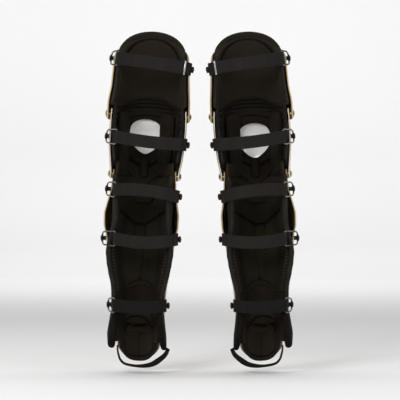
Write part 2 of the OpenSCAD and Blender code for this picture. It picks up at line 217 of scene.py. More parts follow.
def groove(points, line, depth, width):
    """Depth of a soft groove that runs along a line of (x, z) points."""
    line = np.array(line, float)
    start, run = line[:-1], np.diff(line, axis=0)
    off = points[:, None, :] - start[None]
    part = np.clip((off * run).sum(-1) / np.maximum((run ** 2).sum(-1), 1e-9), 0, 1)
    nearest = np.sqrt(((off - part[..., None] * run) ** 2).sum(-1)).min(1)
    return depth * np.exp(-(nearest / width) ** 2)


def nothing(points):
    return 0


def in_place(t, z):
    return 0


CLOTH_ROUND = 70


def turned_cloth(t, z, round_mm=CLOTH_ROUND):
    """Cloth coordinate in mm of an angle and a height on a wall of about this radius."""
    return np.stack([np.radians(t) * round_mm, z], -1)


def panel(name, section, reach, low, high, skins, across, along, edge, dents=nothing,
          outward=in_place):
    """Cushion between two angles, whose inner face carries grooves and ridges."""
    left, right = reach
    outside, inside = skins

    def shape(u, v, k):
        t = left + (right - left) * u
        bottom, top = low(t), high(t)
        z = bottom + (top - bottom) * v
        arc = np.radians(right - left) * CLOTH_ROUND
        rim = np.minimum(np.minimum(u, 1 - u) * arc, np.minimum(v, 1 - v) * (top - bottom))
        full = rounded_rim(rim, edge)
        middle, half = (outside + inside) / 2, (outside - inside) / 2
        flat = wall_point(section, t, z, middle)
        lift = dents(flat[:, [0, 2]]) * full
        proud = outward(t, z)
        skin = middle + proud + np.where(k > 0.5, -half * full + lift, half * full)
        # Painted shade: the inner face's colour darkens as deep as its grooves are pressed in.
        shade = np.where(k > 0.5, np.maximum(lift, 0) / 3, 0)
        return wall_point(section, t, z, skin), turned_cloth(t, z), shade

    return grid_mesh(name, across, along, shape)


print("halfway up its rim a crown is at", round(float(crown(0.5, 1)), 2), "of its height")

# %% [markdown]
# A cushion swells between its seams. A short cloth run with air pressure inside does that: the points that lie
# against the guard are held, the rest may move, and no point goes further than a set limit. The grid keeps its
# faces, so its cloth coordinates and seams stay as they were made.

# %% Swelling a cushion
PRESSURE, FRAMES = 4.0, 20


def puffed(mesh, limit, held):
    """held(points) tells which local points stay where they are."""
    rest = read_points(mesh)
    trial = mesh.copy()
    trial.transform(Matrix.Scale(MM, 4))
    body = in_scene("swelling", trial)
    pinned = body.vertex_groups.new(name="held")
    pinned.add(np.nonzero(held(rest))[0].tolist(), 1.0, "REPLACE")
    cloth = body.modifiers.new("cloth", "CLOTH")
    settings = cloth.settings
    settings.use_pressure, settings.uniform_pressure_force = True, PRESSURE
    settings.effector_weights.gravity = 0
    settings.vertex_group_mass = "held"
    cloth.collision_settings.use_collision = False
    cloth.point_cache.frame_start, cloth.point_cache.frame_end = 1, FRAMES
    for frame_number in range(1, FRAMES + 1):
        bpy.context.scene.frame_set(frame_number)
    swollen = body.evaluated_get(bpy.context.evaluated_depsgraph_get()).data
    shift = read_points(swollen) / MM - rest
    size = np.linalg.norm(shift, axis=1)
    shift *= (limit * np.tanh(size / limit) / np.maximum(size, 1e-9))[:, None]
    mesh.vertices.foreach_set("co", (rest + shift).astype(np.float32).ravel())
    bpy.data.objects.remove(body)
    bpy.data.meshes.remove(trial)
    bpy.context.scene.frame_set(1)
    print(f"{mesh.name}: swelled by up to {size.max():.1f} mm, limited to {limit} mm")
    return mesh


# %% [markdown]
# Webbing, piping, thread and wire are all one small outline carried along a path. The same grid does it: one
# direction runs along the path and the other round the outline. The seam is welded and the ends are filled.

# %% Sweeps
def distances(points):
    return np.concatenate([[0], np.cumsum(np.linalg.norm(np.diff(points, axis=0), axis=1))])


def smooth_path(points, step=2.0, closed=False):
    """Catmull-Rom curve through a few points, sampled at an even step."""
    points = np.array(points, float)
    if closed:
        points = np.vstack([points[-1:], points, points[:2]])
    else:
        points = np.vstack([2 * points[0] - points[1], points, 2 * points[-1] - points[-2]])
    pieces = []
    for a, b, c, d in zip(points[:-3], points[1:-2], points[2:-1], points[3:]):
        s = np.linspace(0, 1, 24, endpoint=False)[:, None]
        pieces.append(0.5 * (2 * b + (c - a) * s + (2 * a - 5 * b + 4 * c - d) * s ** 2
                             + (3 * b - a - 3 * c + d) * s ** 3))
    fine = np.vstack(pieces + ([] if closed else [points[-2:-1]]))
    if closed:
        fine = np.vstack([fine, fine[:1]])
    length = distances(fine)
    count = max(int(length[-1] / step), 3)
    even = np.linspace(0, length[-1], count + 1)
    return np.stack([np.interp(even, length, fine[:, i]) for i in range(3)], -1)


def ring(radius, sides=10, flat=1.0):
    turns = np.linspace(0, 2 * math.pi, sides, endpoint=False)
    return np.stack([radius * np.cos(turns), radius * flat * np.sin(turns)], -1)


def ribbon(width, thick):
    """Flat outline with round edges, widest along its first axis."""
    half = width / 2 - thick / 2
    turns = np.linspace(-math.pi / 2, math.pi / 2, 5)
    right = np.stack([half + thick / 2 * np.cos(turns), thick / 2 * np.sin(turns)], -1)
    left = np.stack([-half - thick / 2 * np.cos(turns), -thick / 2 * np.sin(turns)], -1)
    mid = np.linspace(half, -half, 9)[1:-1]
    return np.vstack([right, np.stack([mid, 0 * mid + thick / 2], -1), left,
                      np.stack([-mid, 0 * mid - thick / 2], -1)])


def sweep(name, path, section, wide=(0, 0, 1), closed=False, swell=None):
    """Carries an outline along a path. wide is the direction of its first axis, one for all or one a point."""
    path = np.array(path, float)
    count, sides = len(path), len(section)
    if closed:
        ahead = np.roll(path[:-1], -1, 0) - np.roll(path[:-1], 1, 0)
        ahead = np.vstack([ahead, ahead[:1]])
    else:
        ahead = np.gradient(path, axis=0)
    ahead /= np.linalg.norm(ahead, axis=1)[:, None]
    wide = np.broadcast_to(np.array(wide, float), path.shape)
    wide = wide - (wide * ahead).sum(1)[:, None] * ahead
    wide = wide / np.linalg.norm(wide, axis=1)[:, None]
    out = np.cross(ahead, wide)
    swell = np.ones(count) if swell is None else np.asarray(swell, float)
    length, girth = distances(path), distances(np.vstack([section, section[:1]]))

    def shape(u, v, k):
        i = np.rint(u * (count - 1)).astype(int)
        j = np.rint(v * sides).astype(int)
        spot = section[j % sides] * swell[i][:, None]
        place = path[i] + spot[:, :1] * wide[i] + spot[:, 1:] * out[i]
        return place, np.stack([length[i], girth[j]], -1)

    return grid_mesh(name, count - 1, sides, shape, layers=1, weld=True)


def tapered(path, share):
    """How thick a cord is along its path, when a share of its length at each end is rounded."""
    ends = np.linspace(0, 1, len(path))
    return crown(np.minimum(ends, 1 - ends), share) + 1e-3


def turned(name, profile, axis_point, sign, segments=28):
    """Round piece turned about X: profile is (distance along X, radius), ends on the axis."""
    bm = bmesh.new()
    x0, y0, z0 = axis_point
    dots = [bm.verts.new((x0 + sign * along, y0, z0 + radius)) for along, radius in profile]
    edges = [bm.edges.new(pair) for pair in zip(dots[:-1], dots[1:])]
    bmesh.ops.spin(bm, geom=dots + edges, cent=(x0, y0, z0), axis=(1, 0, 0), angle=2 * math.pi,
                   steps=segments, use_merge=True)
    bmesh.ops.remove_doubles(bm, verts=bm.verts, dist=1e-3)
    bmesh.ops.recalc_face_normals(bm, faces=bm.faces)
    return close_mesh(name, bm)


def joined(name, meshes):
    bm = bmesh.new()
    for mesh in meshes:
        bm.from_mesh(mesh)
    return close_mesh(name, bm)


thin_cord = sweep("test", smooth_path([(0, 0, 0), (0, 0, 20), (10, 0, 40)]), ring(1, 8), wide=(0, 1, 0))
print("a cord of 8 sides has", len(thin_cord.polygons), "faces")
bpy.data.meshes.remove(thin_cord)


# %% [markdown]
# A finished piece is copied for each side, carried into place, and told which body it moves with and which CAD
# solids it stands for. Mirroring turns a mesh inside out, so the right-hand copy is flipped back.

# %% Hand a piece to the frame
def put(name, mesh, body, finish, nodes=(), across=None):
    """body is the body a piece moves with; a piece given across is baked in place and moves with no body."""
    for side in SIDES:
        own = (mesh[side] if isinstance(mesh, dict) else mesh).copy()
        own.transform(STAND[side])
        if side == "right":
            own.flip_normals()
        for each in finish if isinstance(finish, (list, tuple)) else [finish]:
            own.materials.append(each)
        own.polygons.foreach_set("use_smooth", [True] * len(own.polygons))
        piece = in_scene(f"{side}_{name}", own)
        own.name = piece.name
        if across:
            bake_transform(piece)
        else:
            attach(piece, f"{side}_{body}")
        if nodes:
            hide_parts(*[f"{side}_{node}" for node in nodes])
    print(f"{name}: {sum(len(p.vertices) - 2 for p in own.polygons)} triangles a side")


# %% [markdown]
# Finishes are node graphs, so they stay sharp at any distance. The small class below makes a material and its
# nodes with few words: sockets are set by name, and a value that is a node's output is linked.

# %% A short way to write materials
class Finish:
    def __init__(self, name, color, roughness=0.5, **sockets):
        self.material = bpy.data.materials.new(name)
        self.material.use_nodes = True
        self.nodes = self.material.node_tree.nodes
        self.shader = self.nodes["Principled BSDF"]
        self.shader.inputs["Base Color"].default_value = (*color, 1)
        self.shader.inputs["Roughness"].default_value = roughness
        for socket, value in sockets.items():
            self.shader.inputs[socket.replace("_", " ")].default_value = value

    def node(self, kind, out=0, sockets=None, **settings):
        made_node = self.nodes.new("ShaderNode" + kind)
        for key, value in settings.items():
            setattr(made_node, key, value)
        for socket, value in (sockets or {}).items():
            if isinstance(value, bpy.types.NodeSocket):
                self.material.node_tree.links.new(value, made_node.inputs[socket])
            else:
                made_node.inputs[socket].default_value = value
        return made_node.outputs[out]

    def cloth(self, scale, turn=0.0):
        """The piece's own cloth coordinate, in repeats of 1/scale metres."""
        own = self.node("UVMap", uv_map="cloth")
        return self.node("Mapping", sockets={"Vector": own, "Scale": (scale, scale, scale),
                                             "Rotation": (0, 0, turn)})

    def solid(self, scale=1.0):
        own = self.node("TexCoord", out="Object")
        return self.node("Mapping", sockets={"Vector": own, "Scale": (scale, scale, scale)})

    def noise(self, vector, detail=2.0, **more):
        return self.node("TexNoise", sockets={"Vector": vector, "Scale": 1.0, "Detail": detail, **more})

    def wave(self, vector, direction, **more):
        return self.node("TexWave", sockets={"Vector": vector, "Scale": 0.5, **more},
                         bands_direction=direction)

    def darken_by_painted_shade(self, tone):
        """Paints shade into a colour where a seam or groove draws the cloth in, as the painted_shade attribute
        says.
        """
        painted_shade = self.node("Attribute", out=2, attribute_name="painted_shade")
        return self.mix(self.ramp(painted_shade, [(0.12, 0.0), (0.85, 0.85)]), tone, (0.0012, 0.001, 0.0008))

    def math(self, operation, a, b=0.0):
        return self.node("Math", operation=operation, sockets={0: a, 1: b})

    def ramp(self, value, stops):
        out = self.node("ValToRGB", sockets={"Fac": value})
        curve = out.node.color_ramp
        while len(curve.elements) < len(stops):
            curve.elements.new(0.5)
        for element, (place, shade) in zip(curve.elements, stops):
            element.position = place
            element.color = (*shade, 1) if isinstance(shade, tuple) else (shade, shade, shade, 1)
        return out

    def mix(self, factor, a, b, blend="MIX"):
        out = self.node("Mix", data_type="RGBA", blend_type=blend, out=2)
        node = out.node
        for socket, value in ((0, factor), (6, a), (7, b)):
            if isinstance(value, bpy.types.NodeSocket):
                self.material.node_tree.links.new(value, node.inputs[socket])
            else:
                node.inputs[socket].default_value = (*value, 1) if isinstance(value, tuple) else value
        return out

    def bump(self, height, distance, strength=1.0, below=None):
        sockets = {"Height": height, "Distance": distance, "Strength": strength}
        if below is not None:
            sockets["Normal"] = below
        return self.node("Bump", sockets=sockets)

    def wear(self, **outputs):
        for socket, value in outputs.items():
            self.material.node_tree.links.new(value, self.shader.inputs[socket.replace("_", " ")])
        return self.material


# %% [markdown]
# The liner is a black spacer mesh. Close up it is a net of small diamonds, and from further off it reads as a
# fine diagonal grain. A Voronoi texture with no randomness is a square net, and a turn of 45 degrees makes it
# diamonds. Slow noise over the whole piece gives the faint warm and cool clouds of handled cloth.

# %% Mesh cloth
def net_cloth(name, dark, light, pitch, depth=0.0006):
    f = Finish(name, light, roughness=0.88, Sheen_Weight=0.025, Sheen_Roughness=0.5,
               Sheen_Tint=(0.62, 0.56, 0.47, 1), Specular_IOR_Level=0.12)
    net = f.cloth(1 / pitch, math.pi / 4)
    holes = f.node("TexVoronoi", sockets={"Vector": net, "Scale": 1.0, "Randomness": 0.0})
    fibre = f.noise(f.cloth(1500), 3.0)
    clouds = f.noise(f.solid(14), 4.0)
    hole = f.ramp(holes, [(0.18, 0.0), (0.42, 1.0)])
    tone = f.mix(hole, dark, light)
    warm = f.mix(0.5, tone, (0.6, 0.5, 0.38), "SOFT_LIGHT")
    tone = f.mix(f.ramp(clouds, [(0.3, 0.0), (0.7, 1.0)]), tone, warm)
    grain = f.bump(fibre, 0.0002, 0.6)
    return f.wear(Base_Color=f.darken_by_painted_shade(tone), Normal=f.bump(hole, depth, 1.0, grain))


mesh_cloth = net_cloth("spacer mesh", (0.0048, 0.0036, 0.0024), (0.0205, 0.0160, 0.0105), 0.0032)
# The knee mesh is the same spacer mesh painted darker: painted shade for the knee. The spacer mesh is the
# lighter copy.
knee_cloth_painted_shade = net_cloth("knee mesh painted shade", (0.0030, 0.0023, 0.0014), (0.0130, 0.0100, 0.0062), 0.0032)
shin_cloth = net_cloth("shin mesh", (0.0018, 0.0015, 0.0009), (0.0185, 0.0152, 0.0086), 0.0047, 0.0011)

# %% [markdown]
# The ankle and the toe flap use a ribbed mesh instead: close horizontal ribs with a brownish cast. A Wave
# texture across the height makes the ribs, and a finer one across them makes the knit.

# %% Ribbed mesh
WAVE_TURN = 0.628


def ribbed_cloth(name, dark, light, pitch):
    f = Finish(name, light, roughness=0.88, Sheen_Weight=0.025, Sheen_Roughness=0.5,
               Sheen_Tint=(0.66, 0.55, 0.43, 1), Specular_IOR_Level=0.12)
    ribs = f.wave(f.cloth(WAVE_TURN / pitch), "Y", Distortion=0.25, Detail=1.0)
    knit = f.wave(f.cloth(260), "X")
    clouds = f.noise(f.solid(18), 4.0)
    tone = f.mix(ribs, dark, light)
    tone = f.mix(f.ramp(clouds, [(0.35, 0.0), (0.65, 0.35)]), tone, (0.022, 0.016, 0.011))
    return f.wear(Base_Color=f.darken_by_painted_shade(tone), Normal=f.bump(ribs, 0.0003, 0.7, f.bump(knit, 0.0003, 0.6)))


ribbed = ribbed_cloth("ribbed mesh", (0.0120, 0.0089, 0.0058), (0.0195, 0.0146, 0.0095), 0.0029)
# The ankle mesh is the same ribbed mesh as the toe flap's, painted darker: painted shade.
ankle_ribbed_painted_shade = ribbed_cloth("ankle mesh painted shade", (0.0064, 0.0044, 0.0027), (0.0104, 0.0072, 0.0044), 0.0029)

# %% [markdown]
# The side rolls and the binding tape are plain nylon with a fine plain weave and a soft shine. The wings wear
# the same nylon, duller and painted darker as painted shade, and the piping one of its own. Slow creases run
# over all three.

# %% Nylon
def nylon_cloth(name, color, shine, gloss=0.14, sheen=0.02):
    f = Finish(name, color, roughness=shine, Sheen_Weight=sheen, Sheen_Roughness=0.4,
               Sheen_Tint=(0.80, 0.66, 0.54, 1), Specular_IOR_Level=gloss)
    weave = f.math("MULTIPLY", f.wave(f.cloth(900), "X"), f.wave(f.cloth(900), "Y"))
    creases = f.noise(f.solid(38), 5.0, Distortion=0.6)
    tone = f.mix(f.ramp(creases, [(0.35, 0.0), (0.7, 1.0)]), tuple(c * 0.72 for c in color),
                 tuple(c * 1.3 for c in color))
    small = f.bump(weave, 0.00025, 0.7)
    return f.wear(Base_Color=f.darken_by_painted_shade(tone), Normal=f.bump(creases, 0.0012, 0.45, small))


nylon = nylon_cloth("roll nylon", (0.0108, 0.0090, 0.0076), 0.66)
# The wing nylon is the roll nylon painted darker: painted shade for the wings.
wing_nylon_painted_shade = nylon_cloth("wing nylon painted shade", (0.0058, 0.0047, 0.0038), 0.72, 0.06, 0.006)
piping_cloth = nylon_cloth("piping", (0.0105, 0.0083, 0.0056), 0.7)

# %% [markdown]
# The straps are elastic webbing: lengthwise ribs, a fine cross weave, and a little fuzz. A copy painted darker,
# as painted shade, serves the ankle strap and the stirrup.

# %% Webbing
def webbing_cloth(name, shade=1.0):
    def tint(*color):
        return tuple(c * shade for c in color)

    f = Finish(name, tint(0.027, 0.0245, 0.0235), roughness=0.7, Sheen_Weight=0.03,
               Sheen_Roughness=0.35, Sheen_Tint=(0.80, 0.66, 0.54, 1), Specular_IOR_Level=0.14)
    ribs = f.wave(f.cloth(WAVE_TURN / 0.0021), "Y", Distortion=0.15)
    cross = f.wave(f.cloth(WAVE_TURN / 0.0013), "X", Distortion=0.3)
    bands = f.noise(f.node("Mapping", sockets={"Vector": f.cloth(1), "Scale": (42, 1.5, 1)}))
    fuzz = f.noise(f.cloth(700), 4.0)
    weave = f.math("ADD", f.math("MULTIPLY", ribs, 0.7), f.math("MULTIPLY", cross, 0.3))
    tone = f.mix(weave, tint(0.0062, 0.0053, 0.0048), tint(0.0110, 0.0095, 0.0088))
    tone = f.mix(f.ramp(bands, [(0.35, 0.0), (0.7, 0.75)]), tone, tint(0.0150, 0.0131, 0.0121))
    tone = f.mix(f.ramp(fuzz, [(0.55, 0.0), (0.8, 0.25)]), tone, tint(0.023, 0.0203, 0.019))
    return f.wear(Base_Color=tone, Normal=f.bump(weave, 0.0005, 1.0, f.bump(fuzz, 0.0002, 0.5)))


webbing = webbing_cloth("elastic webbing")
# Painted shade: the same webbing at 0.4 of its colour, for the ankle strap and the stirrup.
webbing_painted_shade = webbing_cloth("webbing painted shade", 0.4)


def twisted_thread():
    f = Finish("sewing thread", (0.008, 0.007, 0.006), roughness=0.75, Specular_IOR_Level=0.15)
    twist = f.wave(f.cloth(900), "DIAGONAL")
    tone = f.mix(twist, (0.0055, 0.0048, 0.0042), (0.0110, 0.0098, 0.0090))
    return f.wear(Base_Color=tone, Normal=f.bump(twist, 0.0001, 0.6))


thread = twisted_thread()

# %% [markdown]
# The hard shells are moulded plastic, sprayed an old-gold metallic outside. Inside, the knee cap keeps a glossy
# pale grey and the other shells a dark brown, both painted lighter as painted light for the deep insides. Metal
# flake is fine noise in the colour and in the bump, and the clear coat is the shader's own Coat.

# %% Shell plastics
def shell_paint(name, low, high, metallic, roughness, coat):
    f = Finish(name, high, roughness=roughness, Metallic=metallic, Coat_Weight=coat, Coat_Roughness=0.12)
    flake = f.noise(f.solid(1600))
    clouds = f.noise(f.solid(9), 4.0)
    scuffs = f.noise(f.solid(60), 6.0, Distortion=1.5)
    tone = f.mix(f.ramp(flake, [(0.4, 0.55), (0.62, 1.0)]), low, high)
    tone = f.mix(f.ramp(clouds, [(0.35, 0.0), (0.7, 0.12)]), tone, low)
    rough = f.ramp(scuffs, [(0.35, roughness * 0.92), (0.75, min(roughness * 1.12, 1))])
    return f.wear(Base_Color=tone, Roughness=rough, Normal=f.bump(flake, 0.00006, 0.4))


gold_paint = shell_paint("old gold paint", (0.30, 0.20, 0.075), (0.62, 0.46, 0.20), 0.55, 0.3, 0.5)
# Painted light: both inner faces are lighter than the plastic, standing in for light that barely reaches
# inside.
pale_inside_painted_light = shell_paint("pale inner face painted light", (0.80, 0.79, 0.77), (0.86, 0.855, 0.84), 0.0, 0.16, 0.6)
brown_inside_painted_light = shell_paint("brown inner face painted light", (0.150, 0.098, 0.058), (0.240, 0.165, 0.102), 0.0, 0.4, 0.15)

# %% [markdown]
# The hardware is small but catches the light: black moulded knobs, dark nickel wire, and rivets with a copper
# or brassy cast. Fine noise breaks up the shine where parts rub.

# %% Hardware finishes
def metal(name, color, roughness):
    f = Finish(name, color, roughness=roughness, Metallic=1.0)
    scratch = f.noise(f.solid(900), 4.0, Distortion=2.0)
    tone = f.mix(f.ramp(scratch, [(0.3, 0.0), (0.75, 1.0)]), tuple(c * 0.75 for c in color), color)
    rough = f.ramp(scratch, [(0.3, roughness * 0.75), (0.75, min(roughness * 1.5, 1))])
    return f.wear(Base_Color=tone, Roughness=rough, Normal=f.bump(scratch, 0.00005, 0.5))


wire_nickel = metal("dark nickel wire", (0.15, 0.145, 0.14), 0.2)
copper_rivet = metal("copper rivet", (0.62, 0.40, 0.31), 0.25)
brass_rivet = metal("olive brass rivet", (0.36, 0.30, 0.17), 0.33)
steel_bar = metal("steel bar", (0.52, 0.51, 0.50), 0.22)


def moulded_black():
    f = Finish("black moulding", (0.006, 0.006, 0.006), roughness=0.36, Specular_IOR_Level=0.14)
    pores = f.noise(f.solid(2200), 3.0)
    rub = f.ramp(f.noise(f.solid(160), 5.0), [(0.45, 0.0), (0.75, 1.0)])
    tone = f.mix(rub, (0.0045, 0.0045, 0.0045), (0.011, 0.0105, 0.010))
    return f.wear(Base_Color=tone, Normal=f.bump(pores, 0.00008, 0.5))


knob_black = moulded_black()
print(len(bpy.data.materials), "finishes so far")

# %% [markdown]
# The hard shells overlap like roof tiles, upper over lower, and pivot on rivets at the sides. Each is a curved
# wall with a constant thickness, so its edge is crisp with a small round. A raised rim and vertical ridges
# stiffen the outside, and the inside face gets its own paint.

# %% Hard shells
SHELL_ROUND = 75


def shell(name, section, reach, low, high, body, node, finishes, ridges, across=84, along=70, bow=0):
    left, right = reach

    def shape(u, v, k):
        t = left + (right - left) * u
        bottom, top = low(t), high(t)
        z = bottom + (top - bottom) * v
        rim = np.minimum(np.minimum(u, 1 - u) * np.radians(right - left) * SHELL_ROUND,
                         np.minimum(v, 1 - v) * (top - bottom))
        full = crown(rim, 1.4)
        relief = ridges(t, z, rim)
        skin = -SHELL_T / 2 + np.where(k > 0.5, -0.5, 0.5) * SHELL_T * (0.25 + 0.75 * full) + relief
        if bow:
            half = np.where(t < 0, np.interp(z, *section[0]), np.interp(z, *section[1])) + skin
            front = np.interp(z, *section[2]) + skin
            angle = np.radians(t)
            place = np.stack([half * np.sin(angle), front - bow + bow * np.cos(angle), z], -1)
        else:
            place = wall_point(section, t, z, skin)
        return place, turned_cloth(t, z, SHELL_ROUND)

    mesh = grid_mesh(name, across, along, shape)
    for polygon in mesh.polygons:
        x, y, z = polygon.center
        inward = polygon.normal.x * x + polygon.normal.y * (y + 20) < 0
        polygon.material_index = 1 if inward else 0
    put(name, mesh, body, finishes, [node])


def rim_bead(rim, high):
    return high * np.exp(-((rim - 4) / 3.5) ** 2)


def thigh_ridges(t, z, rim):
    middle = np.exp(-(t / 9) ** 2) * np.clip((z - 545) / 30, 0, 1)
    flanks = np.exp(-((np.abs(t) - 48) / 7) ** 2) * np.clip((z - 540) / 30, 0, 1)
    return rim_bead(rim, 1.3) + (2.4 * middle + 2.0 * flanks) * np.clip(rim / 14, 0, 1)


def knee_ridges(t, z, rim):
    cap = 1 - np.clip(np.abs(z - 462) / 44, 0, 1) ** 2
    panel_edge = np.exp(-((np.abs(t) - 47) / 5) ** 2)
    return rim_bead(rim, 1.0) * (z < 520) + 2.0 * panel_edge * cap


def shin_ridges(t, z, rim):
    run = np.clip((z - 135) / 40, 0, 1) * np.clip((365 - z) / 30, 0, 1)
    return (rim_bead(rim, 0.8) * (z < 385) + 2.6 * np.exp(-(t / 8) ** 2) * run
            + 1.9 * np.exp(-((np.abs(t) - 40) / 6) ** 2) * run)


def level(height):
    return lambda t: height + 0 * t


def thigh_rim(t):
    return 638 + 36 * np.cos(np.radians(np.clip(t, -90, 90)))


def toe_curve(t):
    return 26 * np.abs(t / TOE_REACH) ** 2.5


SHELL_REACH, TOE_REACH = 97, 72
TOE = [outline(table) for table in (
    [(10, 39.5), (20, 40), (62, 47), (100, 34), (112, 31)],
    [(10, 39.5), (20, 40), (62, 47), (100, 34), (112, 31)],
    [(10, 89), (20, 86), (62, 70), (100, 58), (112, 54)])]
TOE_BOW = 30
shell("thigh_shell_skin", THIGH, (-SHELL_REACH, SHELL_REACH), level(506.5),
      thigh_rim, "thigh", "thigh_shell", [gold_paint, brown_inside_painted_light], thigh_ridges)
shell("knee_shell_skin", KNEE, (-SHELL_REACH, SHELL_REACH), lambda t: ease(t, 372.5, 388.5, 40, 62),
      lambda t: ease(t, 533.5, 528.5, 40, 62), "knee", "knee_shell", [gold_paint, pale_inside_painted_light], knee_ridges)
shell("shin_shell_skin", SHIN, (-SHELL_REACH, SHELL_REACH), level(118.5),
      lambda t: ease(t, 394.5, 407.5, 50, 75), "shin", "shin_shell", [gold_paint, brown_inside_painted_light], shin_ridges,
      along=120)
shell("toe_shell_skin", TOE, (-TOE_REACH, TOE_REACH), lambda t: 24.5 + toe_curve(t),
      lambda t: 99.5 - 6 * (t / TOE_REACH) ** 2, "toe", "toe_shell", [gold_paint, brown_inside_painted_light],
      lambda t, z, rim: rim_bead(rim, 0.5), across=48, along=48, bow=TOE_BOW)

# %% [markdown]
# The thigh pad is one big curved cushion with a domed top. A seam runs 13 mm inside its upper edge, which
# leaves a rolled border, and its sides flare a little over the knee. Grooves are pressed into the inner face
# by lowering the padding near a line, the way a row of stitching does.

# %% Thigh pad
THIGH_REACH = 103


def thigh_top(t, inset=0):
    return 637 - inset + (53 - inset * 0.2) * np.cos(np.radians(np.clip(t, -90, 90)))


def over_the_shell(t, z):
    """The rolled border swells outwards once it is above the shell's rim."""
    part = np.clip((z - thigh_rim(t) + 1) / 5, 0, 1)
    return 5 * part * part * (3 - 2 * part)


def thigh_bottom(t):
    return ease(t, 554, 535, 12, 62)


def face_line(section, angles, height, skin=-15):
    """(x, z) points of a line on the inner face, given its height at each angle."""
    z = height(angles)
    return wall_point(section, angles, z, skin)[:, [0, 2]]


sweep_angles = np.linspace(-96, 96, 49)
thigh_seam = face_line(THIGH, sweep_angles, lambda t: thigh_top(t, 13))


def thigh_dents(points):
    seam_z = np.interp(points[:, 0], thigh_seam[8:-8, 0], thigh_seam[8:-8, 1])
    # Painted shade: the border above the seam is pressed in 0.9 mm so that its colour is painted darker than
    # the middle of the pad.
    border = np.clip((points[:, 1] - seam_z - 2) / 4, 0, 1) * (np.abs(points[:, 0]) < 66)
    return (groove(points, thigh_seam, 4.4, 2.1) + 0.9 * border
            - 1.2 * np.exp(-((points[:, 1] - 590) / 26) ** 2))


put("thigh_padding", panel("thigh_padding", THIGH, (-THIGH_REACH, THIGH_REACH), thigh_bottom, thigh_top,
                           (-5, -15), 150, 84, edge=7, dents=thigh_dents, outward=over_the_shell),
    "thigh", mesh_cloth, ["thigh_pad"])

# %% [markdown]
# The knee liner is a ring of padding round a shield-shaped window. The ring is a grid bent into a loop: one
# direction runs round, the other from the window's edge to the outer edge. Two stitched arcs nest over the
# window, which sits a little higher in the left guard than in the right one.

# %% Knee liner with its window
WINDOW = {"x": -7, "half": 35, "top": 35, "tip": 38}
WINDOW_Z = {"left": 479, "right": 471}


def window_edge(turns, window_z):
    """Rounded shield: a flat dome over a tapering tip."""
    side, rise = np.cos(turns), np.sin(turns)
    pinch = np.where(rise < 0, 1 - 0.34 * rise ** 2, 1)
    high = np.where(rise > 0, WINDOW["top"] * np.abs(rise) ** 0.64, -WINDOW["tip"] * np.abs(rise))
    return WINDOW["x"] + WINDOW["half"] * side * pinch, window_z + high


def knee_outer_edge(turns):
    """Outline of the liner in angle and height: a rounded box with a domed top."""
    side, rise = np.cos(turns), np.sin(turns)
    reach = np.maximum(np.abs(side), np.abs(rise))
    t = 64 * side / reach
    up_side = 470 + 66 * rise / reach
    dome = np.where(rise > 0, -14 * (t / 64) ** 2 * np.clip(rise / reach, 0, 1), 0)
    return t, np.where(rise > 0, up_side + dome, 470 + 62 * rise / reach)


def knee_angle(x, z):
    half = np.where(x < 0, np.interp(z, *KNEE[0]), np.interp(z, *KNEE[1])) - 8
    return np.degrees(np.arcsin(np.clip(x / half, -0.97, 0.97)))


arch_angles = np.linspace(-58, 58, 33)
knee_arcs = [face_line(KNEE, arch_angles, lambda t, drop=drop: 530 - drop - (8 + drop) * (t / 58) ** 2, -11)
             for drop in (0, 10)]


def knee_liner(u, v, k, side):
    turns = 2 * math.pi * u
    x_in, z_in = window_edge(turns, WINDOW_Z[side])
    t_in = knee_angle(x_in, z_in)
    t_out, z_out = knee_outer_edge(turns)
    t, z = t_in + (t_out - t_in) * v, z_in + (z_out - z_in) * v
    mm_a_degree = 1.3
    rim = np.minimum(v, 1 - v) * np.hypot((t_out - t_in) * mm_a_degree, z_out - z_in)
    full = rounded_rim(rim, 4)
    flat = wall_point(KNEE, t, z, -8)[:, [0, 2]]
    lift = (groove(flat, knee_arcs[0], 2.6, 1.7) + groove(flat, knee_arcs[1], 2.6, 1.7)) * full
    skin = -8 + np.where(k > 0.5, -3 * full + lift, 3 * full)
    # Painted shade: the inner face is painted darker in the two arcs and towards the window's edge, and the
    # outer face along the window's edge.
    shade = np.where(k > 0.5, np.maximum(lift / 2.6, np.exp(-v * 12) * 0.8), 0.9 * (v < 0.02))
    return wall_point(KNEE, t, z, skin), turned_cloth(t, z), shade


knee_liners = {side: grid_mesh("knee_padding", 180, 34,
                               lambda u, v, k, side=side: knee_liner(u, v, k, side), weld=True)
               for side in SIDES}
put("knee_padding", knee_liners, "knee", knee_cloth_painted_shade, ["knee_pad"])

# %% [markdown]
# Two long pads with rounded ends stand on the liner beside the window, and thinner wings lie behind them at the
# sides of the leg. Their CAD solids are one node, so the four pieces together replace it.

# %% Knee side pads and wings
def against_knee(depth):
    """Picks the points of a knee cushion that lie less than a depth inside the shell's outline."""
    def held(points):
        x, y, z = points.T
        half = np.where(x < 0, np.interp(z, *KNEE[0]), np.interp(z, *KNEE[1]))
        return np.hypot(x / half, y / np.interp(z, *KNEE[2])) > 1 - depth / 75

    return held


def side_panel_mesh(name, sign, near, far, bottom, top, rounding, skins, limit, held_depth):
    def bulge(t):
        return rounding * np.abs((2 * np.abs(t) - near - far) / (far - near)) ** 2.6

    reach = (-far, -near) if sign < 0 else (near, far)
    flat_pad = panel(name, KNEE, reach, lambda t: bottom + bulge(t), lambda t: top - bulge(t), skins, 26, 60,
                     edge=7)
    return puffed(flat_pad, limit, against_knee(held_depth))


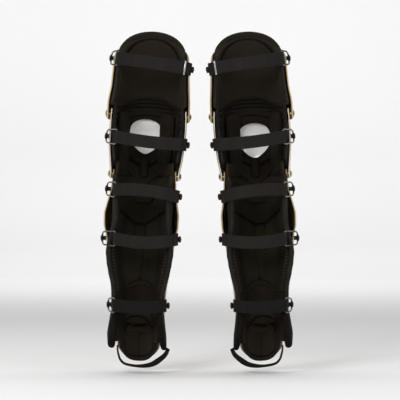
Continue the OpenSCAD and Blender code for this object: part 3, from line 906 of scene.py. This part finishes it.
knee_pads = joined("knee_side_padding", [
    side_panel_mesh("outer pad", -1, 43, 79, 399, 524, 9, (-11.5, -20.5), 4.0, 13.5),
    side_panel_mesh("inner pad", 1, 21, 57, 399, 524, 9, (-11.5, -20.5), 4.0, 13.5)])
put("knee_side_padding", knee_pads, "knee", knee_cloth_painted_shade, ["knee_side_pads"])
knee_wings = joined("knee_wings", [
    side_panel_mesh("knee wing", sign, 69, 103, 412, 506, 13, (-5, -12.5), 3.0, 7.5) for sign in (-1, 1)])
put("knee_wings", knee_wings, "knee", wing_nylon_painted_shade, ())

# %% [markdown]
# The knee liner ends in a soft U-shaped tip that laps over the top of the shin pad. It sits between the knee
# and the shin, baked in place and attached to neither. Two angled slots and four long creases are pressed into
# it, and a raised tongue stands in a moat between them.

# %% Knee tip
def tip_half(z):
    return np.interp(z, [340, 346, 352, 360, 374, 392, 412, 446], [0.5, 13, 20, 24, 30, 40, 52, 58])


def tip_depth(z):
    return np.interp(z, [334, 360, 380, 400, 420, 446], [58, 60, 64, 69, 74, 79])


TIP_BENDS = ((0, 0, 380), (0, 0, 416))
tip_slots = [[(-36, 430), (-28, 425), (-18, 418)], [(26, 430), (16, 425), (4, 418)]]
tip_creases = [[(-62, 424), (-40, 402), (-19, 384), (-12, 372)], [(52, 424), (30, 402), (9, 384), (0, 372)],
               [(-60, 414), (-38, 393), (-22, 378)], [(50, 414), (28, 393), (12, 378)]]


def knee_tip(u, v, k):
    z = 344 + (433 - 344) * v
    x = -7 + (2 * u - 1) * tip_half(z)
    rim = np.minimum(np.minimum(u, 1 - u) * 2 * tip_half(z), v * 96)
    full = rounded_rim(rim, 5)
    flat = np.stack([x, z], -1)
    lift = sum(groove(flat, line, 5.0, 2.4) for line in tip_slots)
    lift = lift + sum(groove(flat, line, 4.2, 2.2) for line in tip_creases)
    away = np.hypot(x + 6, np.clip(402 - z, 0, 99)) + 99 * (z > 442)
    ridge = 3.6 * np.exp(-(away / 6.2) ** 4)
    moat = 2.6 * np.exp(-((away - 9) / 1.8) ** 2) * (z < 440)
    lift = lift * (away > 8) + moat - ridge
    y = tip_depth(z) * np.sqrt(1 - (x / 76) ** 2) + np.where(k > 0.5, -4 * full + lift * full, 4 * full)
    # Painted shade in the slots, the creases and the moat round the tongue.
    shade = np.where(k > 0.5, np.maximum(lift, 0) / 3.4, 0)
    return np.stack([x, y, z], -1), np.stack([x, z], -1), shade


put("knee_tip", grid_mesh("knee_tip", 84, 84, knee_tip), ("shin", "knee"), knee_cloth_painted_shade, (),
    across=TIP_BENDS)

# %% [markdown]
# Folds of cloth close the gap between two sections. Over the knee they are stacked like an accordion, with
# three soft arches, one under the other, and below it there is one. Each is baked in place between the two
# bodies it joins, and is attached to neither.

# %% Folds between the sections
def fold_low(t):
    return ease(t, 527, 492, 40, 80)


fold_lines = [face_line(KNEE, np.linspace(-92, 92, 41),
                        lambda t, part=part: fold_low(t) + (thigh_bottom(t) + 4 - fold_low(t)) * part, -11)
              for part in (0.3, 0.56, 0.82)]
put("thigh_folds", panel("thigh_folds", KNEE, (-102, 102), fold_low, lambda t: thigh_bottom(t) + 5, (-5, -12),
                         120, 34, 5, lambda p: sum(groove(p, line, 3.4, 2.0) for line in fold_lines)),
    ("knee", "thigh"), knee_cloth_painted_shade, (), across=((0, 0, 506), (0, 0, 534)))
put("knee_folds", panel("knee_folds", SHIN, (-101, 101), level(372), lambda t: ease(t, 394, 424, 32, 56),
                        (-4.5, -10), 100, 24, 4, lambda p: 2.2 * np.exp(-((p[:, 1] - 396) / 3) ** 2)),
    ("shin", "knee"), mesh_cloth, (), across=((0, 0, 384), (0, 0, 412)))

# %% [markdown]
# The shin pad is the longest cushion. Its inner face has a narrow middle panel between two rows of stitching,
# one brow-shaped groove near the top, two wide channels at its sides, a small eyelet low down, and an arched
# lower edge.

# %% Shin pad
def shin_low(t):
    return ease(t, 177, 163, 5, 62)


def shin_top(t):
    return ease(t, 388, 380, 40, 70)


brows = [[(-52, 326), (-40, 314), (-22, 300), (2, 299), (8, 303), (28, 316), (44, 326)]]
channels = [[(-21, 296), (-20, 250), (-17, 196)], [(3, 296), (2, 250), (-1, 196)],
            [(-46, 372), (-40, 330), (-45, 290), (-50, 250), (-46, 200), (-38, 170)],
            [(36, 372), (31, 330), (33, 290), (38, 250), (36, 200), (30, 170)]]
shin_arch_angles = np.linspace(-40, 40, 25)
arch_line = face_line(SHIN_LINER, shin_arch_angles, lambda t: shin_low(t) + 9)


def shin_dents(points):
    x, z = points[:, 0], points[:, 1]
    lines = groove(points, brows[0], 4.2, 2.4) + groove(points, arch_line, 2.6, 2.0)
    for line in channels[:2]:
        lines = lines + groove(points, line, 2.0, 1.7)
    # The wide side channels are shallow and broad: mostly they paint a soft shade into the cloth towards the
    # rolls.
    for line in channels[2:]:
        lines = lines + groove(points, line, 1.6, 7)
    swell = 1.6 * np.exp(-((x + 9) / 9) ** 2) * np.clip((296 - z) / 12, 0, 1) * np.clip((z - 190) / 20, 0, 1)
    eyelet = 3.4 * np.exp(-((x + 4) / 4.5) ** 2 - ((z - 190) / 2.6) ** 2)
    return lines + eyelet - swell - 1.2 * np.exp(-((z - 350) / 22) ** 2)


put("shin_padding", panel("shin_padding", SHIN_LINER, (-106, 106), shin_low, shin_top, (-5, -15), 150, 120, 7,
                          shin_dents), "shin", shin_cloth, ["shin_pad"])

# %% [markdown]
# A padded nylon roll runs down each edge of the shin liner, from the knee to the ankle. It is one soft ellipse
# swept down a path that bulges round the calf, and it puckers a little along its length.

# %% Side rolls
ROLLS = {
    -1: [(400, -61, -15), (372, -60, -18), (345, -58, -20), (304, -56, -21), (275, -62, -21), (248, -67, -20),
         (224, -65, -18), (200, -60, -17), (176, -54, -15), (150, -52, -14), (128, -53, -12)],
    1: [(400, 52, -15), (372, 49, -18), (345, 48, -20), (304, 49, -21), (275, 53, -21), (248, 57, -20),
        (224, 55, -18), (200, 51, -17), (176, 46, -15), (150, 43, -14), (128, 45, -12)]}


def roll_mesh(sign):
    path = smooth_path([(x, y, z) for z, x, y in ROLLS[sign]], 2.5)
    along = np.linspace(0, 1, len(path))
    ends = crown(np.minimum(along, 1 - along) * 272, 9)
    pucker = 1 + 0.035 * np.sin(along * 78) + 0.02 * np.sin(along * 171 + 1)
    return sweep("roll", path, ring(5.2, 22, 1.2), wide=(1, 0, 0), swell=ends * pucker + 1e-3)


put("side_rolls", joined("side_rolls", [roll_mesh(-1), roll_mesh(1)]), "shin", nylon, ())

# %% [markdown]
# Below the arch the liner is thin ribbed mesh, and two padded wings hang from it to cup the ankle bones.

# %% Ankle liner and wings
ankle_seam = [(-34, 150), (-28, 124), (0, 116), (22, 124), (28, 150)]
put("ankle_padding", panel("ankle_padding", SHIN, (-84, 84), lambda t: ease(t, 106, 62, 24, 50),
                           lambda t: shin_low(t) + 5, (-5, -13), 96, 60, 5,
                           lambda p: groove(p, ankle_seam, 2.2, 2)),
    "shin", ankle_ribbed_painted_shade, ["ankle_pad"])


def wing(sign):
    def bulge(t):
        return 24 * np.abs((np.abs(t) - 92) / 26) ** 2.2

    reach = (-119, -62) if sign < 0 else (62, 119)
    mid = -54 if sign < 0 else 46
    seam = [(mid - 8, 112), (mid - 9, 80), (mid, 62), (mid + 9, 80), (mid + 8, 112)]
    outside = 2 if sign < 0 else -1
    flat_wing = panel("ankle wing", ANKLE, reach, lambda t: 50 + bulge(t), level(126), (outside, -13), 34, 44,
                      9, lambda p: groove(p, seam, 1.8, 1.6))
    return puffed(flat_wing, 3.5, lambda points: points[:, 2] > 117)


put("ankle_padded_wings", joined("ankle_padded_wings", [wing(sign) for sign in (-1, 1)]), "shin", wing_nylon_painted_shade,
    ["ankle_wings"])

# %% [markdown]
# The toe flap hangs from a sewn fold. It is a tongue of ribbed mesh with a border seam, and a short fold of the
# same cloth joins it to the ankle liner.

# %% Toe flap
def toe_low(t):
    return 21 + toe_curve(t)


def toe_panel(u, v, k):
    t = TOE_REACH * (2 * u - 1)
    bottom, top = toe_low(t), 100 - 6 * (t / TOE_REACH) ** 2
    z = bottom + (top - bottom) * v
    rim = np.minimum(np.minimum(u, 1 - u) * 92, np.minimum(v, 1 - v) * (top - bottom))
    full = rounded_rim(rim, 5)
    middle_stitches = np.exp(-(t / 2.2) ** 2) * (0.5 + 0.5 * np.sin(z * 2.1))
    seam = 2.8 * np.exp(-((rim - 9) / 1.8) ** 2) + 2.2 * middle_stitches
    skin = -7.75 + np.where(k > 0.5, -4.25 * full + seam * full, 4.25 * full)
    angle = np.radians(t)
    half = np.interp(z, *TOE[0]) + skin
    front = np.interp(z, *TOE[2]) + skin
    # Painted shade in the seams, and a dark outline of painted shade along the flap's edge.
    shade = np.where(k > 0.5, np.maximum(seam / 3.0, 0.9 * np.exp(-(rim / 2.2) ** 2)), 0)
    place = np.stack([half * np.sin(angle), front - TOE_BOW + TOE_BOW * np.cos(angle), z], -1)
    return place, turned_cloth(t, z, 40), shade


put("toe_padding", grid_mesh("toe_padding", 72, 60, toe_panel), "toe", ribbed, ["toe_pad"])


hood_seam = [(-30, 92), (-29, 103), (-20, 111), (-4, 114), (12, 110), (21, 100), (25, 84)]
fold_slot = [(-27, 97), (-8, 94), (14, 97)]


def toe_fold(u, v, k):
    x = (2 * u - 1) * 33
    z = 82 + 38 * v
    rim = np.minimum(np.minimum(u, 1 - u) * 66, np.minimum(v, 1 - v) * 38)
    full = rounded_rim(rim, 4)
    flat = np.stack([x, z], -1)
    lift = groove(flat, hood_seam, 3.2, 1.7) + groove(flat, fold_slot, 5.5, 2.6)
    hood = 3.0 * np.exp(-(((z - 104) / 6) ** 2 + (x / 22) ** 4))
    y = 44 - 0.006 * x ** 2 + np.where(k > 0.5, -3.5 - hood, 3.5) * full + np.where(k > 0.5, lift * full, 0)
    # The third value is painted shade in the hood seam and the slot.
    return np.stack([x, y, z], -1), np.stack([x, z], -1), np.where(k > 0.5, lift / 3.2, 0)


put("toe_fold", grid_mesh("toe_fold", 56, 36, toe_fold), ("toe", "shin"), ribbed, (),
    across=((0, 0, 98), (0, 0, 112)))

# %% [markdown]
# Piping is a cord in a strip of cloth, sewn into an edge. It is what draws the outline of each cushion, so it
# follows the same lines as the pads do, as a thin round sweep just proud of them.

# %% Piping and binding
def edge_path(section, angles, height, skin):
    return wall_point(section, angles, height(angles), skin)


def cord_along(path, radius):
    path = smooth_path(path, 2.5)
    return sweep("cord", path, ring(radius, 8), wide=(0.3, 1, 0.2), swell=tapered(path, 0.02))


arc_angles = np.linspace(-100, 100, 31)
put("thigh_piping", joined("thigh_piping", [
    cord_along(edge_path(THIGH, arc_angles, lambda t: thigh_bottom(t) + 1, -14), 1.7),
    cord_along(edge_path(THIGH, np.linspace(-96, 96, 41), lambda t: thigh_top(t) - 0.5, -5.5), 1.5)]),
    "thigh", piping_cloth, ())


def window_cord(side):
    window_x, window_z = window_edge(np.linspace(0, 2 * math.pi, 49)[:-1], WINDOW_Z[side])
    loop = wall_point(KNEE, knee_angle(window_x, window_z), window_z, -10.5)
    return sweep("window_piping", smooth_path(loop, closed=True), ring(1.5, 8), wide=(0.1, 1, 0.1),
                 closed=True)


put("window_piping", {side: window_cord(side) for side in SIDES}, "knee", piping_cloth, ())
tip_heights = np.linspace(386, 346, 10)
tip_loop = [(-7 + sign * tip_half(z), tip_depth(z) * math.sqrt(1 - (tip_half(z) / 76) ** 2) - 2.5, z)
            for sign, heights in ((-1, tip_heights), (1, tip_heights[::-1]))
            for z in heights]
put("tip_piping", cord_along(tip_loop, 1.8), ("shin", "knee"), piping_cloth, (),
    across=TIP_BENDS)
toe_turns = np.linspace(-66, 66, 25)
toe_z, toe_angle = toe_low(toe_turns), np.radians(toe_turns)
toe_front = np.interp(toe_z, *TOE[2]) - 10 - TOE_BOW + TOE_BOW * np.cos(toe_angle)
toe_rim = np.stack([(np.interp(toe_z, *TOE[0]) - 8) * np.sin(toe_angle), toe_front, toe_z + 1], -1)
put("toe_piping", cord_along(toe_rim, 1.8), "toe", piping_cloth, ())
put("shin_piping", cord_along(edge_path(SHIN_LINER, np.linspace(-78, 78, 33), lambda t: shin_low(t) + 1, -14),
                              1.8), "shin", piping_cloth, ())


def side_binding(section, sign, angle, low, high, skin, width):
    heights = np.linspace(low, high, 16)
    path = smooth_path(wall_point(section, np.full(16, sign * angle), heights, skin), 2.5)
    return sweep("binding", path, ring(width, 12, 0.55), wide=(0, 1, 0), swell=tapered(path, 0.05))


put("thigh_binding", joined("thigh_binding", [
    side_binding(THIGH, sign, THIGH_REACH, 538, 634, -8.5, 5.5) for sign in (-1, 1)]),
    "thigh", nylon, ())
put("knee_binding", joined("knee_binding", [
    side_binding(KNEE, sign, 102, 424, 494, -8.5, 5.0) for sign in (-1, 1)]), "knee", nylon, ())

# %% [markdown]
# Five elastic straps close each guard. The outer end of a strap is folded round the long bar of a wire hook and
# sewn down with a box of stitches. The inner end turns round the edge of the shell to a knob. The stations hold
# the same heights and widths as the CAD part, and each strap is built level, then tilted into its place.

# %% Strap stations
STRAPS = {
    "thigh": {"z": (628, 613), "bar": 67, "body": "thigh", "sag": 0},
    "knee": {"z": (472, 462), "bar": 62, "body": "knee", "sag": -3},
    "calf": {"z": (367, 358), "bar": 59, "body": "shin", "sag": 5},
    "shin": {"z": (269, 273), "bar": 55, "body": "shin", "sag": -7},
    "ankle": {"z": (137, 140), "bar": 50, "body": "shin", "sag": -3}}
STRAP_WIDE, STRAP_THICK, HOOK_Y, WIRE = 25, 1.9, -35, 1.5
CAD_TABLES = {
    "thigh": ([(572, 78), (620, 75), (632, 75), (646, 69)], [(572, 78), (632, 75), (646, 70)]),
    "knee": ([(428, 74), (452, 76.5), (488, 77)], [(428, 71), (452, 73.5), (488, 76)]),
    "calf": ([(345, 74), (367, 68), (410, 66)], [(345, 65), (367, 61.5), (410, 60)]),
    "shin": ([(248, 71), (275, 73), (292, 79)], [(248, 62), (275, 64), (292, 69)]),
    "ankle": ([(118, 56), (150, 57)], [(118, 50), (150, 50.5)])}


def station(name):
    s = STRAPS[name]
    tables = [np.array(table, float).T for table in CAD_TABLES[name]]
    side = [max(np.interp(s["z"][i] + dz, *tables[i]) for dz in range(-12, 13, 6)) for i in (0, 1)]
    seat = [float(np.interp(s["z"][i], *tables[i])) for i in (0, 1)]
    tilt = math.atan((s["z"][0] - s["z"][1]) / (side[0] + side[1]))
    level_up = Matrix.Translation((0, 0, sum(s["z"]) / 2)) @ Matrix.Rotation(tilt, 4, "Y")
    return side, seat, level_up, tilt


for name in STRAPS:
    print(name, "strap: sides", [round(float(v), 1) for v in station(name)[0]])

# %% Strap webbing with its sewn fold
def strap_path(name):
    side, _, _, tilt = station(name)
    xo, xi, sag = -STRAPS[name]["bar"], side[1], STRAPS[name]["sag"]
    seat_x = xi + STRAP_THICK + STRAP_WIDE / 2 * abs(math.sin(tilt))
    loop = [(xo + 40, -35.0), (xo + 22, -34.6), (xo + 9, -33.4), (xo + 1.5, -32.2), (xo - 2.0, -33.0),
            (xo - 3.0, -35.0), (xo - 2.0, -37.0), (xo + 1.5, -37.7)]
    run = [(xo + 12, -37.9), (xo + 30, -38.6), (0, -39), (xi - 36, -38), (xi - 19, -35.5), (xi - 8, -32),
           (xi - 1.5, -24), (seat_x, -16), (seat_x, -6), (seat_x, 0)]
    path = smooth_path([(x, y, 0) for x, y in loop + run])
    middle, half = (xo + xi) / 2, (xi - xo) / 2
    path[:, 2] = sag * np.clip(1 - ((path[:, 0] - middle) / half) ** 2, 0, 1)
    return path


def strap_mesh(name):
    path = strap_path(name)
    mesh = sweep(name, path, ribbon(STRAP_WIDE, STRAP_THICK), wide=(0, 0, 1))
    mesh.transform(station(name)[2])
    return mesh


def on_path(path, behind, x):
    """Where a strap's outer run passes x: its y, and how far it is lifted or sags."""
    front = path[path[:, 1] < behind]
    front = front[np.argsort(front[:, 0])]
    return [float(np.interp(x, front[:, 0], front[:, i])) for i in (1, 2)]


def stitch_box(name):
    """A box of stitches with a cross in it, on the outer face of the folded end."""
    path = strap_path(name)
    xo = -STRAPS[name]["bar"]
    low, high, tall = xo + 8, xo + 33, 8.5

    def on_strap(x, z):
        y, lift = on_path(path, -36.5, x)
        return (x, y - STRAP_THICK / 2 - 0.12, z + lift)

    lines = [((low, -tall), (high, -tall)), ((high, -tall), (high, tall)), ((high, tall), (low, tall)),
             ((low, tall), (low, -tall)), ((low, -tall), (high, tall)), ((low, tall), (high, -tall))]
    threads = []
    for (x0, z0), (x1, z1) in lines:
        length = math.hypot(x1 - x0, z1 - z0)
        count = max(int(length / 3.2), 3)
        for i in range(count):
            a, b = (i + 0.12) / count, (i + 0.88) / count
            ends = [on_strap(x0 + (x1 - x0) * s, z0 + (z1 - z0) * s) for s in (a, (a + b) / 2, b)]
            threads.append(sweep("stitch", ends, ring(0.3, 5), wide=(0, 1, 0), swell=(0.5, 1, 0.5)))
    mesh = joined("stitches", threads)
    mesh.transform(station(name)[2])
    return mesh


def bent_ring(corners, radius, steps=5):
    """A closed path through some corners, each rounded by a short quadratic curve."""
    corners = [np.array(c, float) for c in corners]
    path = []
    for i, corner in enumerate(corners):
        before, after = corners[i - 1], corners[(i + 1) % len(corners)]
        a = corner + radius * (before - corner) / np.linalg.norm(before - corner)
        b = corner + radius * (after - corner) / np.linalg.norm(after - corner)
        for s in np.linspace(0, 1, steps + 1):
            path.append((1 - s) ** 2 * a + 2 * s * (1 - s) * corner + s * s * b)
    return np.array(path + path[:1])


def loop_round_strap(name, x, length, thick, grip):
    """A closed loop that the strap passes through, such as a webbing keeper or a metal bar slide."""
    y, lift = on_path(strap_path(name), -30, x)
    tall, deep = STRAP_WIDE / 2 + grip, STRAP_THICK / 2 + grip
    corners = [(x, y - deep, lift - tall), (x, y - deep, lift + tall), (x, y + deep, lift + tall),
               (x, y + deep, lift - tall)]
    mesh = sweep("loop", bent_ring(corners, min(deep, 1.4), 3), ribbon(length, thick), wide=(1, 0, 0),
                 closed=True)
    mesh.transform(station(name)[2])
    return mesh


for name, facts in STRAPS.items():
    strap_cloth = webbing_painted_shade if name == "ankle" else webbing
    put(f"{name}_webbing", strap_mesh(name), facts["body"], strap_cloth, [f"{name}_strap"])
    put(f"{name}_stitching", stitch_box(name), facts["body"], thread)

thigh_side = station("thigh")[0]
put("thigh_keeper", loop_round_strap("thigh", -STRAPS["thigh"]["bar"] + 8, 9, 1.3, 0.9), "thigh", webbing,
    ())
put("thigh_slide", loop_round_strap("thigh", thigh_side[1] - 9, 3.4, 1.5, 1.2), "thigh", steel_bar, ())

# %% [markdown]
# Each hook is one closed ring of bent wire. Its long bar lies in the strap's fold, and its short bar goes round
# the neck of the outer knob. Six corners, each rounded by a short curve, give the tight bends of real wire.

# %% Wire hooks
def hook_mesh(name):
    side, _, level_up, _ = station(name)
    near, bend, far = (-STRAPS[name]["bar"], HOOK_Y), (-side[0] - 2.5, -15), (-side[0] - 6, 5)
    path = bent_ring([(*near, -15), (*near, 15), (*bend, 13), (*far, 10), (*far, -10), (*bend, -13)], 3.2)
    mesh = sweep(name, path, ring(WIRE + 0.15, 12), wide=(-1, -0.3, 0), closed=True)
    mesh.transform(level_up)
    return mesh


for name in STRAPS:
    put(f"{name}_wire", hook_mesh(name), f"{name}_hook", wire_nickel, [f"{name}_hook"])

# %% [markdown]
# A knob is a turned shape: spin carries its profile round the axis. The neck is a plain post, the head has a
# soft rim and a shallow well, and the rivet's dome sits in the well.

# %% Knobs and rivets
KNOB_Y = (-5, -8)


def knob_meshes(name):
    side, seat, level_up, _ = station(name)
    knobs, rivets = [], []
    for i, sign in ((0, -1), (1, 1)):
        foot_x, head_x = seat[i] + 1.2, side[i] + 4.2
        axis = (0, KNOB_Y[i], 0)
        knob = turned("knob", [(foot_x, 0.0), (foot_x, 4.8), (foot_x + 0.8, 4.8), (foot_x + 1.4, 4.1),
                               (head_x - 0.8, 4.1), (head_x, 5.6), (head_x + 0.9, 6.4), (head_x + 2.4, 6.6),
                               (head_x + 3.9, 6.2), (head_x + 4.7, 5.2), (head_x + 4.9, 4.2),
                               (head_x + 4.5, 3.6), (head_x + 4.4, 0.0)], axis, sign)
        rivet = turned("rivet", [(head_x + 4.3, 0.0), (head_x + 4.3, 3.3), (head_x + 4.8, 3.4),
                                 (head_x + 5.3, 2.9), (head_x + 5.7, 1.9), (head_x + 5.85, 0.9),
                                 (head_x + 5.9, 0.0)], axis, sign, 24)
        inner = seat[i] - SHELL_T
        tail = turned("tail", [(inner - 0.6, 0.0), (inner - 0.5, 1.4), (inner - 0.1, 2.0), (inner + 1.5, 2.0),
                               (inner + 1.5, 0.0)], axis, sign, 20)
        knobs.append(knob)
        rivets += [rivet, tail]
    both = joined("knobs", knobs), joined("rivets", rivets)
    for mesh in both:
        mesh.transform(level_up)
    return both


GROUPS = {"thigh": ("thigh_strap", "thigh"), "knee": ("knee_strap", "knee"), "calf": ("shin_strap", "shin")}
shin_sets = [knob_meshes(name) for name in ("calf", "shin", "ankle")]
for name, (node, body) in GROUPS.items():
    sets = shin_sets if body == "shin" else [knob_meshes(name)]
    put(f"{body}_knobs", joined("knobs", [s[0] for s in sets]), body, knob_black, [f"{node}_knobs"])
    put(f"{body}_rivets", joined("rivets", [s[1] for s in sets]), body, copper_rivet, [f"{node}_rivets"])

# %% Hinge rivets
def hinge_mesh(upper, lower, z):
    pieces = []
    for i, sign in ((0, -1), (1, 1)):
        out = float(np.interp(z, *upper[i])) + 1.2
        inn = float(np.interp(z, *lower[i])) - SHELL_T - 0.9
        pieces.append(turned("hinge", [(inn - 1.2, 0.0), (inn - 1.1, 3.2), (inn - 0.6, 4.6), (inn, 5.0),
                                       (inn, 3.0), (out + 0.2, 3.0), (out + 0.2, 6.8), (out + 0.9, 7.2),
                                       (out + 1.2, 6.2), (out + 1.3, 5.4), (out + 2.2, 4.6), (out + 2.9, 3.0),
                                       (out + 3.1, 1.4), (out + 3.15, 0.0)], (0, 0, z), sign, 32))
    return joined("hinges", pieces)


put("thigh_hinge_domes", hinge_mesh(THIGH, KNEE, 518), "knee", brass_rivet, ["thigh_hinge_rivets"])
put("knee_hinge_domes", hinge_mesh(KNEE, SHIN, 398), "shin", brass_rivet, ["knee_hinge_rivets"])

# %% [markdown]
# The stirrup strap runs from wing to wing under the foot. It lies edge-on at the outer side and turns a little
# on its way to the inner side, so its flat shows there.

# %% Stirrup strap
stirrup = smooth_path([(-41, 0, 56), (-40, 0, 46), (-38, 0, 38), (-34, 0, 28), (-25, 0, 20), (-6, 0, 16.5),
                       (14, 0, 17), (31, 0, 21.5), (45, 0, 31), (56, 0, 42), (61, 0, 54)], 2.0)
ahead = np.gradient(stirrup, axis=0)
ahead /= np.linalg.norm(ahead, axis=1)[:, None]
in_plane = np.stack([-ahead[:, 2], 0 * ahead[:, 0], ahead[:, 0]], -1)
twist = np.interp(np.linspace(0, 1, len(stirrup)), [0, 0.45, 0.75, 1], [4, 12, 42, 24])
twist = np.radians(twist)[:, None]
wide_way = np.array([0, 1.0, 0]) * np.cos(twist) + in_plane * np.sin(twist)
put("stirrup_webbing", sweep("stirrup_webbing", stirrup, ribbon(15.5, 1.8), wide=wide_way), "shin",
    webbing_painted_shade, ["stirrup_strap"])

# %% [markdown]
# The stage is a pale floor that curves up into a round wall, so that it closes every view, and a soft bright
# world looks in over the wall. The camera stands behind the guards, level with their middle, on a long lens.

# %% Stage, lights and camera
def backdrop():
    bm = bmesh.new()
    profile = [(0.02, 0), (1.6, 0), (3.4, 0), (4.6, 0), (5.2, 0), (5.9, 0.12), (6.4, 0.6), (6.6, 1.4),
               (6.6, 3.2)]
    dots = [bm.verts.new((reach, 0, z)) for reach, z in profile]
    edges = [bm.edges.new(pair) for pair in zip(dots[:-1], dots[1:])]
    bmesh.ops.spin(bm, geom=dots + edges, cent=(0, 0, 0), axis=(0, 0, 1), angle=2 * math.pi, steps=64,
                   use_merge=True)
    middle = [e for e in bm.edges if e.is_boundary and e.verts[0].co.length < 0.1]
    bmesh.ops.holes_fill(bm, edges=middle, sides=0)
    bmesh.ops.recalc_face_normals(bm, faces=bm.faces)
    mesh = close_mesh("backdrop", bm)
    mesh.polygons.foreach_set("use_smooth", [True] * len(mesh.polygons))
    f = Finish("pale paper", (0.86, 0.86, 0.86), roughness=0.9)
    mottle = f.ramp(f.noise(f.solid(0.8)), [(0.3, 0.0), (0.7, 1.0)])
    mesh.materials.append(f.wear(Base_Color=f.mix(mottle, (0.87, 0.87, 0.875), (0.89, 0.89, 0.89))))
    in_scene("backdrop", mesh)


def soft_box(name, place, target, size, power):
    light = bpy.data.lights.new(name, "AREA")
    light.shape, light.size, light.size_y, light.energy = "RECTANGLE", size[0], size[1], power
    lamp = in_scene(name, light)
    lamp.location = place
    lamp.rotation_euler = (Vector(target) - Vector(place)).to_track_quat("-Z", "Y").to_euler()


backdrop()
soft_box("key", (-1.2, -2.5, 1.5), (0, 0, 0.40), (1.1, 1.1), 48)
soft_box("fill", (1.7, -2.2, 0.9), (0, 0, 0.35), (1.0, 1.4), 20)
soft_box("top", (0, 0.2, 2.4), (0, 0.1, 0.3), (1.6, 0.8), 10)
soft_box("paper", (0, 3.4, 2.8), (0, 6.4, 1.0), (3.2, 0.8), 66)
soft_box("left edge", (-1.9, 0.5, 0.7), (0, 0, 0.35), (0.5, 1.4), 6)
soft_box("right edge", (1.9, 0.5, 0.7), (0, 0, 0.35), (0.5, 1.4), 6)
world = bpy.data.worlds.new("studio")
world.use_nodes = True
world.node_tree.nodes["Background"].inputs["Color"].default_value = (1, 1, 1, 1)
world.node_tree.nodes["Background"].inputs["Strength"].default_value = 0.42
bpy.context.scene.world = world
bpy.context.scene.view_settings.view_transform = "Standard"

CAMERA_FAR, VIEW_WIDE, SENSOR, EYE_Z = 4.0, 0.8, 36, 0.348
camera = bpy.data.cameras.new("camera")
camera.sensor_width = SENSOR
camera.lens = SENSOR * CAMERA_FAR / VIEW_WIDE
eye = in_scene("camera", camera)
eye.location = (0, -CAMERA_FAR, EYE_Z)
eye.rotation_euler = (math.pi / 2, 0, 0)
bpy.context.scene.camera = eye
print("the camera sees", VIEW_WIDE * 1000, "mm across at the leg's centreline")

# %% [markdown]
# Every CAD part that still shows gets a real finish too.

# %% Dress the CAD parts and close
CAD_FINISH = {"knobs": knob_black, "strap_rivets": copper_rivet, "hinge_rivets": brass_rivet,
              "hook": wire_nickel, "strap": webbing, "shell": gold_paint, "pad": mesh_cloth,
              "wings": wing_nylon_painted_shade}
for node_name, part in frame["nodes"].items():
    finish = next(f for word, f in CAD_FINISH.items() if word in node_name)
    part.data.materials.clear()
    part.data.materials.append(finish)
